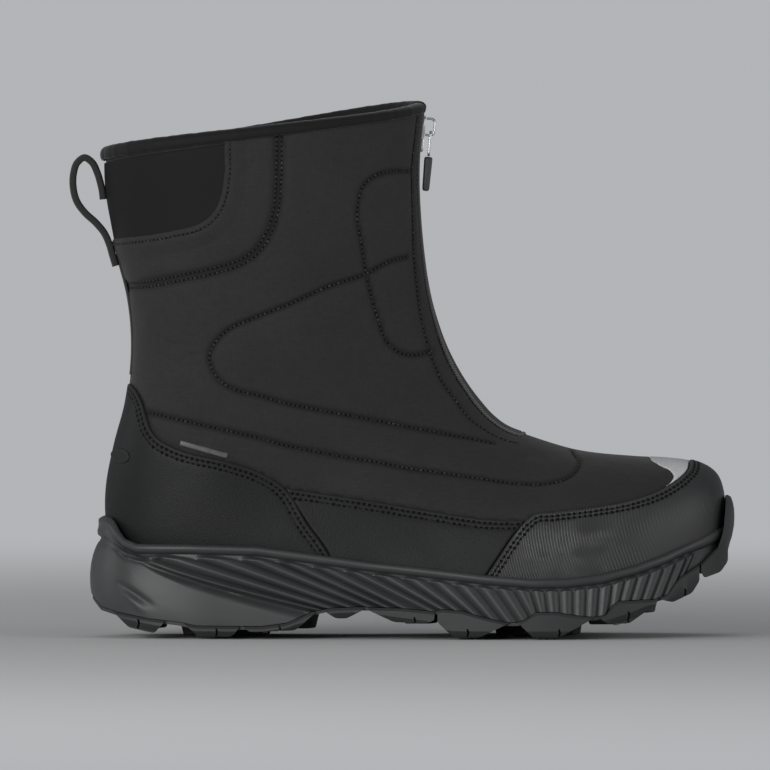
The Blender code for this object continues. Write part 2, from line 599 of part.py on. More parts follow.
def middle_lug(x, length, width):
    """An arrow-shaped block on the middle line, tapered towards the ground."""
    middle, _ = plan_middle(x)
    top, low = height(PARTING, x) + 4 * MM, height(TREAD, x)
    rings = []
    for z, grow in ((low, 0.0), (top, 2.4 * MM)):
        half, wide, point = length + grow, width + grow, 3.5 * MM
        rings.append([
            (x + half, middle - wide, z), (x + half + point, middle, z), (x + half, middle + wide, z),
            (x - half, middle + wide, z), (x - half + point, middle, z), (x - half, middle - wide, z),
        ])
    return ring_shape(rings)


def make_bumper():
    """The toe guard, which rises in front of the midsole and the toe cap."""
    out = [
        (PARTING, -9 * MM, 0.0), (PARTING, -4 * MM, -BUMPER), (LIP, 3 * MM, -BUMPER),
        (LIP, 9 * MM, -0.8 * BUMPER), (LIP, 13 * MM, -0.25 * BUMPER),
    ]
    bumper = sole_block("bumper", out, 25)
    inside = [
        (PARTING, -30 * MM, 2.0 * MM), (PARTING, -2.5 * MM, 2.0 * MM), (PARTING, -1.5 * MM, -GAP),
        (LIP, 40 * MM, -GAP),
    ]
    boolean(bumper, sole_block("bumper_inside", inside, 36), "DIFFERENCE")
    boolean(bumper, form("bumper_toe", 2 * GAP + OVERLAY), "DIFFERENCE")
    boolean(bumper, prism("bumper_outline", BUMPER_EDGE), "INTERSECT")
    ends = (SOLE_LENGTH - FAR, SOLE_LENGTH + FAR / 2)
    front = [[(x, y + SOLE_PLAN[-1, 1], z) for y, z in BUMPER_FRONT] for x in ends]
    return boolean(bumper, object_from("bumper_front", ring_shape(front)), "INTERSECT")


def turned(x, y, profile):
    """A round body on a vertical axis: profile is a list of radius and z."""
    turns = np.arange(STUD_SIDES) * 2 * math.pi / STUD_SIDES
    rings = [
        [(x + radius * math.cos(turn), y + radius * math.sin(turn), z) for turn in turns]
        for radius, z in profile
    ]
    return ring_shape(rings)


def make_studs():
    """Steel studs sunk in the blocks, with their tips standing out."""
    shoulder = STUD_STANDS_OUT + 0.1 * MM
    tip = [(STUD_TIP, 0), (STUD_TIP + 0.2 * MM, shoulder)]
    profile = [*tip, (STUD_BODY, shoulder), (STUD_BODY, STUD_DEPTH)]
    for number, (x, y, z) in enumerate(STUDS):
        lifted = [(radius, rise + z - STUD_STANDS_OUT) for radius, rise in profile]
        object_from(f"stud_{number + 1:02d}", turned(x, y, lifted))


def tucked_edge(start, end):
    """The overlays' low edge between two x, inside the midsole's cup."""
    inside = LIP[(LIP[:, 0] > start) & (LIP[:, 0] < end)]
    ends = [(start, height(LIP, start)), *inside, (end, height(LIP, end))]
    return [(x, z - TUCK) for x, z in ends]


def make_overlays():
    thick = GAP, GAP + OVERLAY
    thin = GAP, GAP + PATCH
    low_front, low_toe = COUNTER_EDGE[0, 0], TOE_CAP_EDGE[0, 0]
    past_heel = [(-FAR, COUNTER_EDGE[-1, 1]), (-FAR, LIP[0, 1] - TUCK)]
    overlay("heel_counter", [*COUNTER_EDGE, *past_heel, *tucked_edge(LIP[0, 0], low_front)[:-1]], *thick)
    shift = np.array([SEAM_SHIFT, 0])
    band_back = COUNTER_EDGE[:4] + shift
    band_front = TOE_CAP_EDGE[TOE_CAP_EDGE[:, 1] < BAND_TOP[-1, 1]] - shift
    band = [*band_back, *BAND_TOP[1:], *band_front[::-1], *tucked_edge(low_front, low_toe)[-2:0:-1]]
    overlay("side_band_outer", band, *thick, -FAR, 0)
    overlay("side_band_inner", band, *thick, 0, FAR)
    past_toe = [(400 * MM, TOE_CAP_EDGE[-1, 1]), (400 * MM, LIP[-1, 1] - TUCK)]
    overlay("toe_cap", [*TOE_CAP_EDGE, *past_toe, *tucked_edge(low_toe, LIP[-1, 0])[:0:-1]], *thick)
    overlay("collar_patch", [*PATCH_EDGE, (-FAR, PATCH_EDGE[0, 1])], *thin)
    low, high = COUNTER_EDGE[-1, 1] + GAP, PATCH_EDGE[-1, 1] - GAP
    back = [(-FAR, low), (BACKSTAY_REACH, low), (BACKSTAY_REACH, high), (-FAR, high)]
    overlay("backstay", back, *thin, -BACKSTAY_WIDTH / 2, BACKSTAY_WIDTH / 2)
    edge = TOE_CAP_EDGE[TOE_CAP_EDGE[:, 0] > REFLECTOR_BACK[-1, 0]] - shift
    overlay("toe_reflector", [*REFLECTOR_BACK, *edge], GAP, GAP + FILM)
    face = GAP + OVERLAY
    overlay("heel_badge", ellipse(*BADGE), face + GAP, face + GAP + FILM, -FAR, 0)
    overlay("side_tag", tilted_box(*TAG, TAG_TILT), GAP, GAP + FILM, -FAR, 0)


def make_binding():
    """A padded roll along the collar, open at the zip."""
    start = math.pi - BINDING_OPENING / LAST[-1, 6]
    angles = np.linspace(-start, start, RING_STEPS + 4)[:, None]
    low = surface(COLLAR, angles, BINDING[None, :, None])
    rise = surface(TOP, angles, 0.0) - surface(COLLAR, angles, 0.0)
    length = np.linalg.norm(rise, axis=-1, keepdims=True)
    lift = COLLAR_GAP + BINDING_RISE[None, :, None] * (length - COLLAR_GAP)
    object_from("collar_binding", ring_shape(low + rise / length * lift))


def make_loop():
    """Webbing sewn to the collar patch and the backstay."""
    path = LOOP_PATH
    along = np.gradient(path, axis=0)
    along /= np.linalg.norm(along, axis=1, keepdims=True)
    out = np.column_stack([-along[:, 1], along[:, 0]]) * WEBBING / 2
    half = WEBBING_WIDTH / 2
    rings = [
        [(x + side * dx, y, z + side * dz) for side, y in ((1, -half), (1, half), (-1, half), (-1, -half))]
        for (x, z), (dx, dz) in zip(path, out)
    ]
    object_from("pull_loop", ring_shape(rings))


def make_zip():
    strip = front_strip(ZIP_END_STATION + 0.12, COLLAR)
    half = SLOT_WIDTH / 2 - GAP
    overlay("zip_tape", strip, -TAPE_DEPTH - TAPE, -TAPE_DEPTH, -half, half)
    strip = front_strip(ZIP_END_STATION + 0.3, COLLAR - 0.1)
    foot = GAP - TAPE_DEPTH
    overlay("zip_teeth", strip, foot, foot + TEETH, -TEETH_WIDTH / 2, TEETH_WIDTH / 2)


def slider_frame():
    """The slider's place on the zip: x along the boot's width, y up along the zip, z out of the shin."""
    low, high = (surface(SLIDER_STATION + step, math.pi, 0.0) for step in (-0.5, 0.5))
    origin = surface(SLIDER_STATION, math.pi, 0.0)
    up = Vector(high - low).normalized()
    across = Vector((0, 1, 0))
    out = across.cross(up).normalized()
    frame = Matrix((across, up, out)).transposed().to_4x4()
    frame.translation = Vector(origin)
    return frame


def tab_frame():
    """The pull tab's hinge: x along its pin, y down the hanging tab, z out of the shin."""
    hinge = slider_frame() @ Vector((0, HINGE_RISE, HINGE_STANDS_OUT))
    down = Vector((-math.sin(TAB_LEAN), 0, -math.cos(TAB_LEAN)))
    across = Vector((0, -1, 0))
    frame = Matrix((across, down, across.cross(down))).transposed().to_4x4()
    frame.translation = hinge
    return frame


def block_shape(layers):
    """A body through flat outlines: each layer is a height and its outline's points."""
    return ring_shape([[(x, y, z) for x, y in outline] for z, outline in layers])


def slider_outline(inset):
    wide, neck, half = SLIDER_WIDTH / 2 - inset, SLIDER_NECK / 2 - inset, SLIDER_LENGTH / 2 - inset
    right = [
        (neck, -half), (neck, -half * 0.2), (wide, half * 0.35), (wide, half * 0.8), (wide * 0.7, half),
    ]
    return [*right, *[(-x, y) for x, y in reversed(right)]]


def make_slider():
    """The slider's top plate, and the crown that holds the pull's pin."""
    bevel = 0.4 * MM
    top = SLIDER_STANDS_OUT + SLIDER
    full = slider_outline(0)
    layers = [(SLIDER_STANDS_OUT, full), (top - bevel, full), (top, slider_outline(bevel))]
    slider = object_from("zip_slider", block_shape(layers))
    foot = top - 0.6 * MM
    start, end = CROWN_START, CROWN_START + CROWN_LENGTH
    slope = 1.2 * MM
    under_bar = CROWN_HEIGHT - CROWN
    crown = [
        (start, foot), (start, CROWN_HEIGHT - slope), (start + slope, CROWN_HEIGHT),
        (end - 2 * slope, CROWN_HEIGHT), (end, CROWN_HEIGHT - 2 * slope), (end, foot), (end - CROWN, foot),
        (end - CROWN, under_bar - slope), (end - CROWN - slope, under_bar), (start + CROWN, under_bar),
        (start + CROWN, foot),
    ]
    half = CROWN_WIDTH / 2
    arch = object_from("slider_crown", ring_shape([[(x, y, z) for y, z in crown] for x in (-half, half)]))
    boolean(slider, arch, "UNION")
    for piece in (slider, arch):
        piece.matrix_world = slider_frame()


def make_pull():
    """The pull tab: a wire link on its pin, and a rubber sleeve. Both turn about the hinge."""
    hinge = bpy.data.objects.new("pull_hinge", None)
    bpy.context.scene.collection.objects.link(hinge)
    hinge.matrix_world = tab_frame()
    half, bar = LINK_WIDTH / 2, LINK_BAR
    thick = LINK_BAR / 2
    outside = [(-half, -thick), (half, -thick), (half, LINK_LENGTH), (-half, LINK_LENGTH)]
    low = LINK_LENGTH - bar
    inside = [(bar - half, thick), (half - bar, thick), (half - bar, low), (bar - half, low)]
    link = object_from("zip_pull", block_shape([(-thick, outside), (thick, outside)]))
    hole = object_from("link_hole", block_shape([(-bar, inside), (bar, inside)]))
    boolean(link, hole, "DIFFERENCE")
    start = LINK_LENGTH + GAP
    rings = []
    for share in (0.0, 0.08, 0.92, 1.0):
        ease = SLEEVE_BEVEL if share in (0.0, 1.0) else 0.0
        wide = SLEEVE_WIDTH / 2 - ease
        low, high = SLEEVE_THICKNESS
        thick = (high + (low - high) * share) / 2 - ease
        cut = 1.6 * SLEEVE_BEVEL
        corners = [(wide, thick - cut), (wide - cut, thick), (cut - wide, thick), (-wide, thick - cut)]
        corners += [(-x, -z) for x, z in corners]
        rings.append([(x, start + SLEEVE_LENGTH * share, z) for x, z in corners])
    sleeve = object_from("pull_sleeve", ring_shape(rings))
    for piece in (link, hole, sleeve):
        piece.parent = hinge


def finish(name, colour):
    """Gives a node its material and smooth shading."""
    made = bpy.data.objects[name]
    red, green, blue, roughness, metallic = COLOURS[colour]
    surface_of = bpy.data.materials.get(colour) or bpy.data.materials.new(colour)
    surface_of.use_nodes = True
    shader = surface_of.node_tree.nodes["Principled BSDF"]
    shader.inputs["Base Color"].default_value = (red, green, blue, 1)
    shader.inputs["Roughness"].default_value = roughness
    shader.inputs["Metallic"].default_value = metallic
    made.data.materials.append(surface_of)
    made.data.shade_smooth()
    made.data.set_sharp_from_angle(angle=math.radians(35))


def centre_origin():
    """Moves the whole boot so that the origin is the middle of its bounding box, on the floor."""
    bpy.context.view_layer.update()
    graph = bpy.context.evaluated_depsgraph_get()
    nodes = [o for o in bpy.context.scene.objects if o.type == "MESH" and not o.hide_render]
    corners = np.array([
        o.matrix_world @ Vector(corner) for o in nodes for corner in o.evaluated_get(graph).bound_box
    ])
    low, high = corners.min(axis=0), corners.max(axis=0)
    shift = Matrix.Translation(-Vector(((low[0] + high[0]) / 2, (low[1] + high[1]) / 2, low[2])))
    for made in bpy.context.scene.objects:
        if made.parent is None:
            made.matrix_world = shift @ made.matrix_world


for old in list(bpy.data.objects):
    bpy.data.objects.remove(old)
make_upper()
make_midsole()
make_insole()
make_outsole()
make_studs()
make_overlays()
make_binding()
make_loop()
make_zip()
make_slider()
make_pull()
for number in range(len(STUDS)):
    finish(f"stud_{number + 1:02d}", "bright_metal")
for name, colour in FINISHES.items():
    finish(name, colour)
centre_origin()
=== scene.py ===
import math

import bmesh
import bpy
import numpy as np
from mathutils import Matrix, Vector
from mathutils.bvhtree import BVHTree
from mathutils.geometry import delaunay_2d_cdt
from mathutils.kdtree import KDTree


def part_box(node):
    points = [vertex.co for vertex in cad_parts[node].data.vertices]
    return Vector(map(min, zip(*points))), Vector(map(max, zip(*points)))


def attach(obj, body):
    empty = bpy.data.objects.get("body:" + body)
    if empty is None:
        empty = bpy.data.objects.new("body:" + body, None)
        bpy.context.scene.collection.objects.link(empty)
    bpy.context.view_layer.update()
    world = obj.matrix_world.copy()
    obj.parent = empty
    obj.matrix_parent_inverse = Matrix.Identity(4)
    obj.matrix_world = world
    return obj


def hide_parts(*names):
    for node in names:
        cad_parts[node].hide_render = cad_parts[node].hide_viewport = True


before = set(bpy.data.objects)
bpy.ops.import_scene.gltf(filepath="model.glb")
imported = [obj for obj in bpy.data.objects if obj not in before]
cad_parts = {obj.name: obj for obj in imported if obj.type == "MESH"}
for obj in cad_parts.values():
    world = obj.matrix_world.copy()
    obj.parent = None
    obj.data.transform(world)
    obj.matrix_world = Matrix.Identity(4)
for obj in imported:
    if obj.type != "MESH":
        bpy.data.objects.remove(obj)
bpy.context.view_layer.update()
mm = 0.001
print("frame loaded:", len(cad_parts), "solids")

# The boot is worked out with x = 0 at the back of the sole, y = 0 on the heel's middle line and z = 0 under the
# studs. Side is -1 for the outer side and 1 for the inner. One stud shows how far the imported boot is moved.
studLow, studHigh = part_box("stud_01")
firstStud = (57.5, -31.0)  # its place on the boot, in millimetres
moved = np.array([
    (studLow.x + studHigh.x) / 2 - firstStud[0] * mm,
    (studLow.y + studHigh.y) / 2 - firstStud[1] * mm,
    0.0,
])
beside = 0.09  # well outside the boot, on either side
underfoot = -0.03  # and well below it

gaps = {"seat": 0.3 * mm, "overlay": 1.2 * mm, "patch": 0.9 * mm, "film": 0.6 * mm, "wall": 3.0 * mm}

# The last: slanted sections from the heel and sole side (back) to the toe and shin side (front)
lastColumns = "frontX frontZ frontY backX backZ backY width widest lowPower topPower".split()
lastTable = np.array([
    (294.2, 56, 4.8, 294.2, 53, 4.8, 1.5, 0.45, 2, 2),
    (293.3, 68, 5, 292.5, 42.5, 5, 13, 0.42, 2.2, 2.1),
    (289.8, 76, 5.5, 287.4, 36, 5.2, 23.5, 0.40, 2.6, 2.2),
    (281.6, 80.8, 5.8, 279, 30.5, 4.9, 32.2, 0.38, 3, 2.3),
    (270, 82.7, 5.8, 267, 24.5, 4, 39.6, 0.36, 3.5, 2.3),
    (254.5, 83.6, 5.5, 251, 19, 2.6, 46.2, 0.34, 4, 2.2),
    (236, 85.4, 5, 231, 15, 0.4, 50, 0.32, 4, 2.1),
    (218.6, 89.2, 4.4, 207, 13.5, -2.2, 50.4, 0.31, 4, 2),
    (205, 93.4, 3.8, 182, 15.5, -4.2, 46.4, 0.30, 4, 2),
    (195, 97.2, 3.2, 158, 18, -5.2, 42, 0.30, 4, 2),
    (187.8, 102.6, 2.6, 132, 21, -5, 38.6, 0.30, 4, 2),
    (181.9, 109.4, 2.2, 105, 24.5, -4.2, 37, 0.30, 4, 2),
    (176.2, 117, 1.8, 75, 26.5, -2.6, 36.6, 0.32, 3.8, 2.1),
    (171, 125.8, 1.4, 46, 27.5, -1, 36.4, 0.35, 3.4, 2.1),
    (165.9, 136.4, 1, 25, 29, -0.3, 36.6, 0.38, 2.8, 2.2),
    (161.9, 147.4, 0.7, 12.6, 37.5, 0, 37.2, 0.41, 2.4, 2.2),
    (158.9, 158, 0.4, 8.6, 52, 0, 38, 0.43, 2.2, 2.2),
    (156.8, 169, 0.2, 8.4, 70, 0, 39, 0.45, 2.2, 2.2),
    (155.2, 181, 0, 12.2, 90, 0, 40.2, 0.46, 2.2, 2.2),
    (154, 192, 0, 17, 108, 0, 41.6, 0.47, 2.2, 2.2),
    (153.3, 202, 0, 19.6, 126, 0, 43, 0.48, 2.2, 2.2),
    (153, 210.5, 0, 19.9, 143, 0, 44.2, 0.48, 2.2, 2.2),
    (153, 218.5, 0, 17.9, 160, 0, 45.4, 0.49, 2.2, 2.2),
    (153.2, 226, 0, 13.6, 177, 0, 46.4, 0.49, 2.2, 2.2),
    (153.7, 233, 0, 10.2, 193.5, 0, 47.2, 0.50, 2.2, 2.2),
    (154.4, 240, 0, 7.6, 208.8, 0, 47.8, 0.50, 2.2, 2.2),
    (155.1, 246, 0, 7, 223.6, 0, 48.2, 0.50, 2.2, 2.2),
    (155.6, 250.2, 0, 6.8, 229.2, 0, 48.4, 0.50, 2.2, 2.2),
])
lastTable[:, :7] *= mm
topStation = len(lastTable) - 1.0
collarStation = topStation - 1  # the wall ends here, under the binding
twist = {"most": 1.3 * mm, "from": 18}  # how the leg's sections are skewed, from this station upwards


def splineAt(table, at):
    knots, values = table[:, 0], table[:, 1:]
    slopes = np.gradient(values, knots, axis=0)
    at = np.clip(at, knots[0], knots[-1])
    row = np.clip(np.searchsorted(knots, at, side="right") - 1, 0, len(knots) - 2)
    step = (knots[row + 1] - knots[row])[..., None]
    t = (at - knots[row])[..., None] / step
    start, end = values[row], values[row + 1]
    return (
        (1 + 2 * t) * (1 - t) ** 2 * start
        + t * (1 - t) ** 2 * step * slopes[row]
        + t**2 * (3 - 2 * t) * end
        - t**2 * (1 - t) * step * slopes[row + 1]
    )


def heightAt(table, x):
    return np.interp(x, table[:, 0], table[:, 1])


def powerOf(value, exponent):
    return np.sign(value) * np.abs(value) ** exponent


def unit(vectors):
    return vectors / np.maximum(np.linalg.norm(vectors, axis=-1, keepdims=True), 1e-12)


def easeIn(value, low, high):
    # 0 at low, 1 at high, eased and held outside
    t = np.clip((value - low) / (high - low), 0, 1)
    return t * t * (3 - 2 * t)


def bump(away, half, power=2):
    # 1 in the middle, falling off past half the width
    return np.exp(-((away / half) ** power))


def turnsOf(count):
    return np.linspace(0, 2 * math.pi, count, endpoint=False)


def lengthAlong(line):
    return np.append(0, np.cumsum(np.linalg.norm(np.diff(line, axis=0), axis=1)))


def smoothLine(rows, spacing):
    # a smooth curve through given points, resampled evenly
    rows = np.asarray(rows, float)
    along = lengthAlong(rows)
    table = np.column_stack([along, rows])
    return splineAt(table, np.linspace(0, along[-1], max(int(along[-1] / spacing), 2) + 1))


def lastPoints(station, angle):
    # angle is 0 at the back, a quarter turn at the outer side and a half turn in front
    station, angle = np.broadcast_arrays(np.asarray(station, float), np.asarray(angle, float))
    numbered = np.column_stack([np.arange(len(lastTable)), lastTable])
    row = dict(zip(lastColumns, np.moveaxis(splineAt(numbered, station), -1, 0)))
    across, along = np.sin(angle), np.cos(angle)
    exponent = 2 / np.where(along > 0, row["lowPower"], row["topPower"])
    reach = np.where(along > 0, row["widest"], 1 - row["widest"])
    share = row["widest"] - reach * powerOf(along, exponent)
    leg = np.clip((station - twist["from"]) / (topStation - twist["from"]), 0, 1)
    return np.stack([
        row["backX"] + (row["frontX"] - row["backX"]) * share,
        row["backY"] + (row["frontY"] - row["backY"]) * share - row["width"] * powerOf(across, exponent),
        row["backZ"] + (row["frontZ"] - row["backZ"]) * share + twist["most"] * np.sin(2 * angle) * leg,
    ], axis=-1)


# One even net over the last carries every piece of the upper: rows from the toe to the collar, columns from the
# back round the outer side to the front and home along the inner side.
net = {
    "rows": 384, "columns": 224,
    "columnStep": 1.35 * mm,  # about how far two columns lie apart
    "toe": (0.264, 0.028, 2.1 * mm),  # from where the toe is fuller, over what length, and by how much
}


def layNet():
    rows, half = net["rows"], net["columns"] // 2
    fine = np.linspace(0, topStation, 1200)
    rings = lastPoints(fine[:, None], turnsOf(48)[None, :])
    steps = np.linalg.norm(np.diff(rings, axis=0), axis=2).mean(axis=1)
    walked = np.append(0, np.cumsum(steps))
    stations = np.interp(np.linspace(0, walked[-1], rows), walked, fine)
    stations[np.abs(stations - collarStation).argmin()] = collarStation
    spread = np.linspace(-1, 1, 900)
    dense = math.pi / 2 + math.pi / 2 * spread**3  # crowded where the sections turn their corners
    places = np.zeros((rows, 2 * half))
    for i, station in enumerate(stations):
        line = lastPoints(station, dense)
        run = lengthAlong(line)
        angles = np.interp(np.linspace(0, run[-1], half + 1), run, dense)
        places[i, : half + 1] = angles
        places[i, half + 1 :] = 2 * math.pi - angles[1:-1][::-1]
    points = lastPoints(stations[:, None], places)
    start, reach, fuller = net["toe"]
    ahead = np.clip((points[..., 0] - start) / reach, 0, 1)
    points[..., 0] += fuller * ahead**2 * (3 - 2 * ahead)
    around = np.roll(points, -1, axis=1) - np.roll(points, 1, axis=1)
    normals = unit(np.cross(around, np.gradient(points, axis=0)))
    normals[0] = normals[1] * 0.5 + np.array([0.5, 0, 0])
    return stations, walked[-1] / (rows - 1), points, unit(normals)


stations, rowStep, netPoints, netNormals = layNet()
collarRow = int(np.abs(stations - collarStation).argmin())
halfway = net["columns"] // 2


def ringFaces(count, steps, capped=True):
    # quads through rings of equal point counts, with flat ends
    corner = np.arange(count * steps).reshape(count, steps).tolist()
    faces = [
        (corner[i][j], corner[i][(j + 1) % steps], corner[i + 1][(j + 1) % steps], corner[i + 1][j])
        for i in range(count - 1)
        for j in range(steps)
    ]
    if capped:
        faces += [tuple(corner[0][::-1]), tuple(corner[-1])]
    return faces


lastTree = BVHTree.FromPolygons(netPoints.reshape(-1, 3).tolist(), ringFaces(net["rows"], net["columns"], False))


def netPlace(spot, face):
    # where a point of the net lies in it, as a row and a column
    i, j = divmod(face, net["columns"])
    corner = netPoints[i, j]
    right = netPoints[i, (j + 1) % net["columns"]] - corner
    up = netPoints[i + 1, j] - corner
    across, along = np.linalg.lstsq(np.column_stack([right, up]), np.asarray(spot) - corner, rcond=None)[0]
    return i + min(max(along, 0), 1), j + min(max(across, 0), 1)


def nearest(point):
    spot, _, face, _ = lastTree.find_nearest(Vector(point))
    return netPlace(spot, face)


def fromSide(x, z, side):
    # the net's place behind a point of the side view, if there is one
    spot, _, face, _ = lastTree.ray_cast(Vector((x, side * beside, z)), Vector((0, -side, 0)))
    return None if spot is None else netPlace(spot, face)


def onNet(values, places):
    # values of the net's corners at rows and columns in between
    places = np.asarray(places, float)
    row = np.clip(places[:, 0], 0, net["rows"] - 1.001)
    column = places[:, 1] % net["columns"]
    i, j = np.floor(row).astype(int), np.floor(column).astype(int)
    a, b = row - i, column - j
    if values.ndim == 3:
        a, b = a[:, None], b[:, None]
    i2, j2 = np.minimum(i + 1, net["rows"] - 1), (j + 1) % net["columns"]
    j = j % net["columns"]
    return (
        values[i, j] * (1 - a) * (1 - b) + values[i, j2] * (1 - a) * b
        + values[i2, j] * a * (1 - b) + values[i2, j2] * a * b
    )


def surface(places):
    # points of the last and the ways out of it
    return onNet(netPoints, places), unit(onNet(netNormals, places))


def leftOf(points, normals):
    return unit(np.cross(normals, np.gradient(points, axis=0)))


def sidePath(rows, side):
    # net places of a line drawn on the boot's side
    found = [fromSide(x, z, side) for x, z in smoothLine(np.asarray(rows) * mm, 0.8 * mm)]
    return np.array([place for place in found if place is not None])


def shiftPath(path, distance):
    # the line moved sideways over the surface; positive is to the left of its way, seen from outside
    points, normals = surface(path)
    return np.array([nearest(point) for point in points + distance * leftOf(points, normals)])


print("last laid out:", netPoints.shape)


# Finishes


class Wire:
    # one socket of a material, so that sums on it can be written as sums
    def __init__(self, finish, socket):
        self.finish, self.socket = finish, socket

    def __add__(self, other):
        return self.finish.maths("ADD", self, other)

    def __sub__(self, other):
        return self.finish.maths("SUBTRACT", self, other)

    def __mul__(self, other):
        return self.finish.maths("MULTIPLY", self, other)

    def __rsub__(self, other):
        return self.finish.maths("SUBTRACT", other, self)

    __radd__, __rmul__ = __add__, __mul__


class Finish:
    def __init__(self, name, **fixed):
        self.material = bpy.data.materials.new(name)
        self.material.use_nodes = True
        self.tree = self.material.node_tree
        self.shader = self.tree.nodes["Principled BSDF"]
        for socket, value in fixed.items():
            self.shader.inputs[socket.replace("_", " ")].default_value = value
        self.where = Wire(self, self.add("ShaderNodeTexCoord").outputs["Object"])

    def add(self, kind, settings=(), **inputs):
        # inputs are named as their sockets, or in0, in1 by place
        node = self.tree.nodes.new(kind)
        for key, value in dict(settings).items():
            setattr(node, key, value)
        for key, value in inputs.items():
            place = int(key[2:]) if key[:2] == "in" and key[2:].isdigit() else key.replace("_", " ")
            self.feed(node.inputs[place], value)
        return node

    def feed(self, socket, value):
        if isinstance(value, Wire):
            self.tree.links.new(value.socket, socket)
        else:
            socket.default_value = value

    def maths(self, operation, first, second=0.0, **more):
        node = self.add("ShaderNodeMath", {"operation": operation, **more}, in0=first, in1=second)
        return Wire(self, node.outputs[0])

    def limit(self, value):
        return self.maths("ADD", value, 0.0, use_clamp=True)

    def sine(self, value):
        return self.maths("SINE", value)

    def spread(self, value, low, high):
        # 0 at low, 1 at high, eased and held outside
        node = self.add(
            "ShaderNodeMapRange", {"interpolation_type": "SMOOTHSTEP"}, Value=value, From_Min=low, From_Max=high
        )
        return Wire(self, node.outputs["Result"])

    def attribute(self, name):
        return Wire(self, self.add("ShaderNodeAttribute", {"attribute_name": name}).outputs["Fac"])

    def weave(self):
        return Wire(self, self.add("ShaderNodeUVMap", {"uv_map": "weave"}).outputs["UV"])

    def parts(self, vector):
        node = self.add("ShaderNodeSeparateXYZ", Vector=vector)
        return [Wire(self, node.outputs[i]) for i in range(3)]

    def noise(self, scale, detail, roughness=0.55):
        # scale is one number, or one for each way where the grain is drawn out
        vector = self.where
        if isinstance(scale, tuple):
            vector = Wire(self, self.add("ShaderNodeMapping", Vector=vector, Scale=scale).outputs["Vector"])
            scale = 1.0
        node = self.add("ShaderNodeTexNoise", Vector=vector, Scale=scale, Detail=detail, Roughness=roughness)
        return Wire(self, node.outputs["Fac"])

    def cells(self, scale):
        node = self.add("ShaderNodeTexVoronoi", {"feature": "F1"}, Vector=self.where, Scale=scale)
        return Wire(self, node.outputs["Distance"])

    def blend(self, share, first, second):
        node = self.add("ShaderNodeMix", {"data_type": "RGBA"})
        for place, value in ((0, share), (6, first), (7, second)):
            self.feed(node.inputs[place], value)
        return Wire(self, node.outputs[2])

    def raised(self, height, distance, strength, normal=None):
        node = self.add("ShaderNodeBump", Height=height, Distance=distance, Strength=strength)
        if normal is not None:
            self.feed(node.inputs["Normal"], normal)
        return Wire(self, node.outputs["Normal"])

    def ready(self, colour, roughness, normal=None, glow=None):
        sockets = {"Base Color": colour, "Roughness": roughness, "Normal": normal, "Emission Color": glow}
        for socket, value in sockets.items():
            if value is not None:
                self.feed(self.shader.inputs[socket], value)
        return self.material


def grey(value, red=1.0, green=1.0, blue=1.0):
    return (value * red, value * green, value * blue, 1.0)


def greys(dark, pale, *tint):
    return grey(dark, *tint), grey(pale, *tint)


def shellFabricFinish():
    # brushed softshell: a fine brown-black weave with a faint streak along the thread, with painted shade in its seam
    # troughs and tucks
    look = {"dark": 0.0150, "pale": 0.0275, "roughness": 0.74, "weave": 0.00016, "sheen": 0.10}
    f = Finish("quilted fabric", Sheen_Weight=look["sheen"], Sheen_Roughness=0.5, Specular_IOR_Level=0.32)
    streak = f.noise((260, 260, 1500), 3.0)
    cross = f.noise((1300, 1300, 240), 2.0)
    cloud = f.noise(26.0, 3.0)
    weave = f.limit(streak * 0.55 + cross * 0.45)
    tone = f.limit((weave - 0.5) * 1.3 + (cloud - 0.5) * 0.7 + 0.5)
    colour = f.blend(tone, grey(look["dark"], 1.02, 0.97, 1.03), grey(look["pale"], 1.05, 0.97, 1.04))
    # painted shade: the colour turns near black in the seam troughs, the stitch-row dips and the tucks beside the
    # panels
    seamShadeMask = f.attribute("crease")
    colour = f.blend(seamShadeMask * 0.9, colour, grey(0.0042))
    rough = f.limit(look["roughness"] + (0.5 - tone) * 0.16)
    pucker = f.noise((170, 170, 240), 2.0)
    soft = f.raised(pucker, 0.0012, 0.22)
    return f.ready(colour, rough, f.raised(weave, look["weave"], 0.9, soft))


def smoothFabricFinish(name, colour, sheen):
    look = {"dark": colour * 0.8, "pale": colour * 1.25, "roughness": 0.7}
    f = Finish(name, Sheen_Weight=sheen, Sheen_Roughness=0.4, Specular_IOR_Level=0.24)
    fine = f.noise(1900.0, 2.0)
    cloud = f.noise(40.0, 2.0)
    tone = f.limit(fine * 0.5 + cloud * 0.5)
    colour = f.blend(tone, *greys(look["dark"], look["pale"], 1, 0.98, 1.05))
    rough = f.limit(look["roughness"] + (tone - 0.5) * 0.14)
    return f.ready(colour, rough, f.raised(fine, 0.00008, 0.7))


def coatedFinish():
    # rubberised leather-look panels: a fine pebble grain, worn a little paler along the cut edges
    look = {"dark": 0.0054, "pale": 0.0094, "worn": 0.045, "roughness": 0.54, "grain": 0.00012}
    f = Finish("coated synthetic", Specular_IOR_Level=0.32)
    pebble = f.cells(1150.0)
    cloud = f.noise(30.0, 4.0)
    tone = f.limit((cloud - 0.5) * 1.2 + (0.5 - pebble) * 0.3 + 0.5)
    colour = f.blend(tone, *greys(look["dark"], look["pale"], 0.94, 1.0, 1.07))
    colour = f.blend(f.attribute("edge") * 0.35, colour, grey(look["worn"], 0.97, 1.0, 1.03))
    rough = f.limit(look["roughness"] + (cloud - 0.5) * 0.22 + pebble * 0.06)
    return f.ready(colour, rough, f.raised(pebble, look["grain"], 0.55))


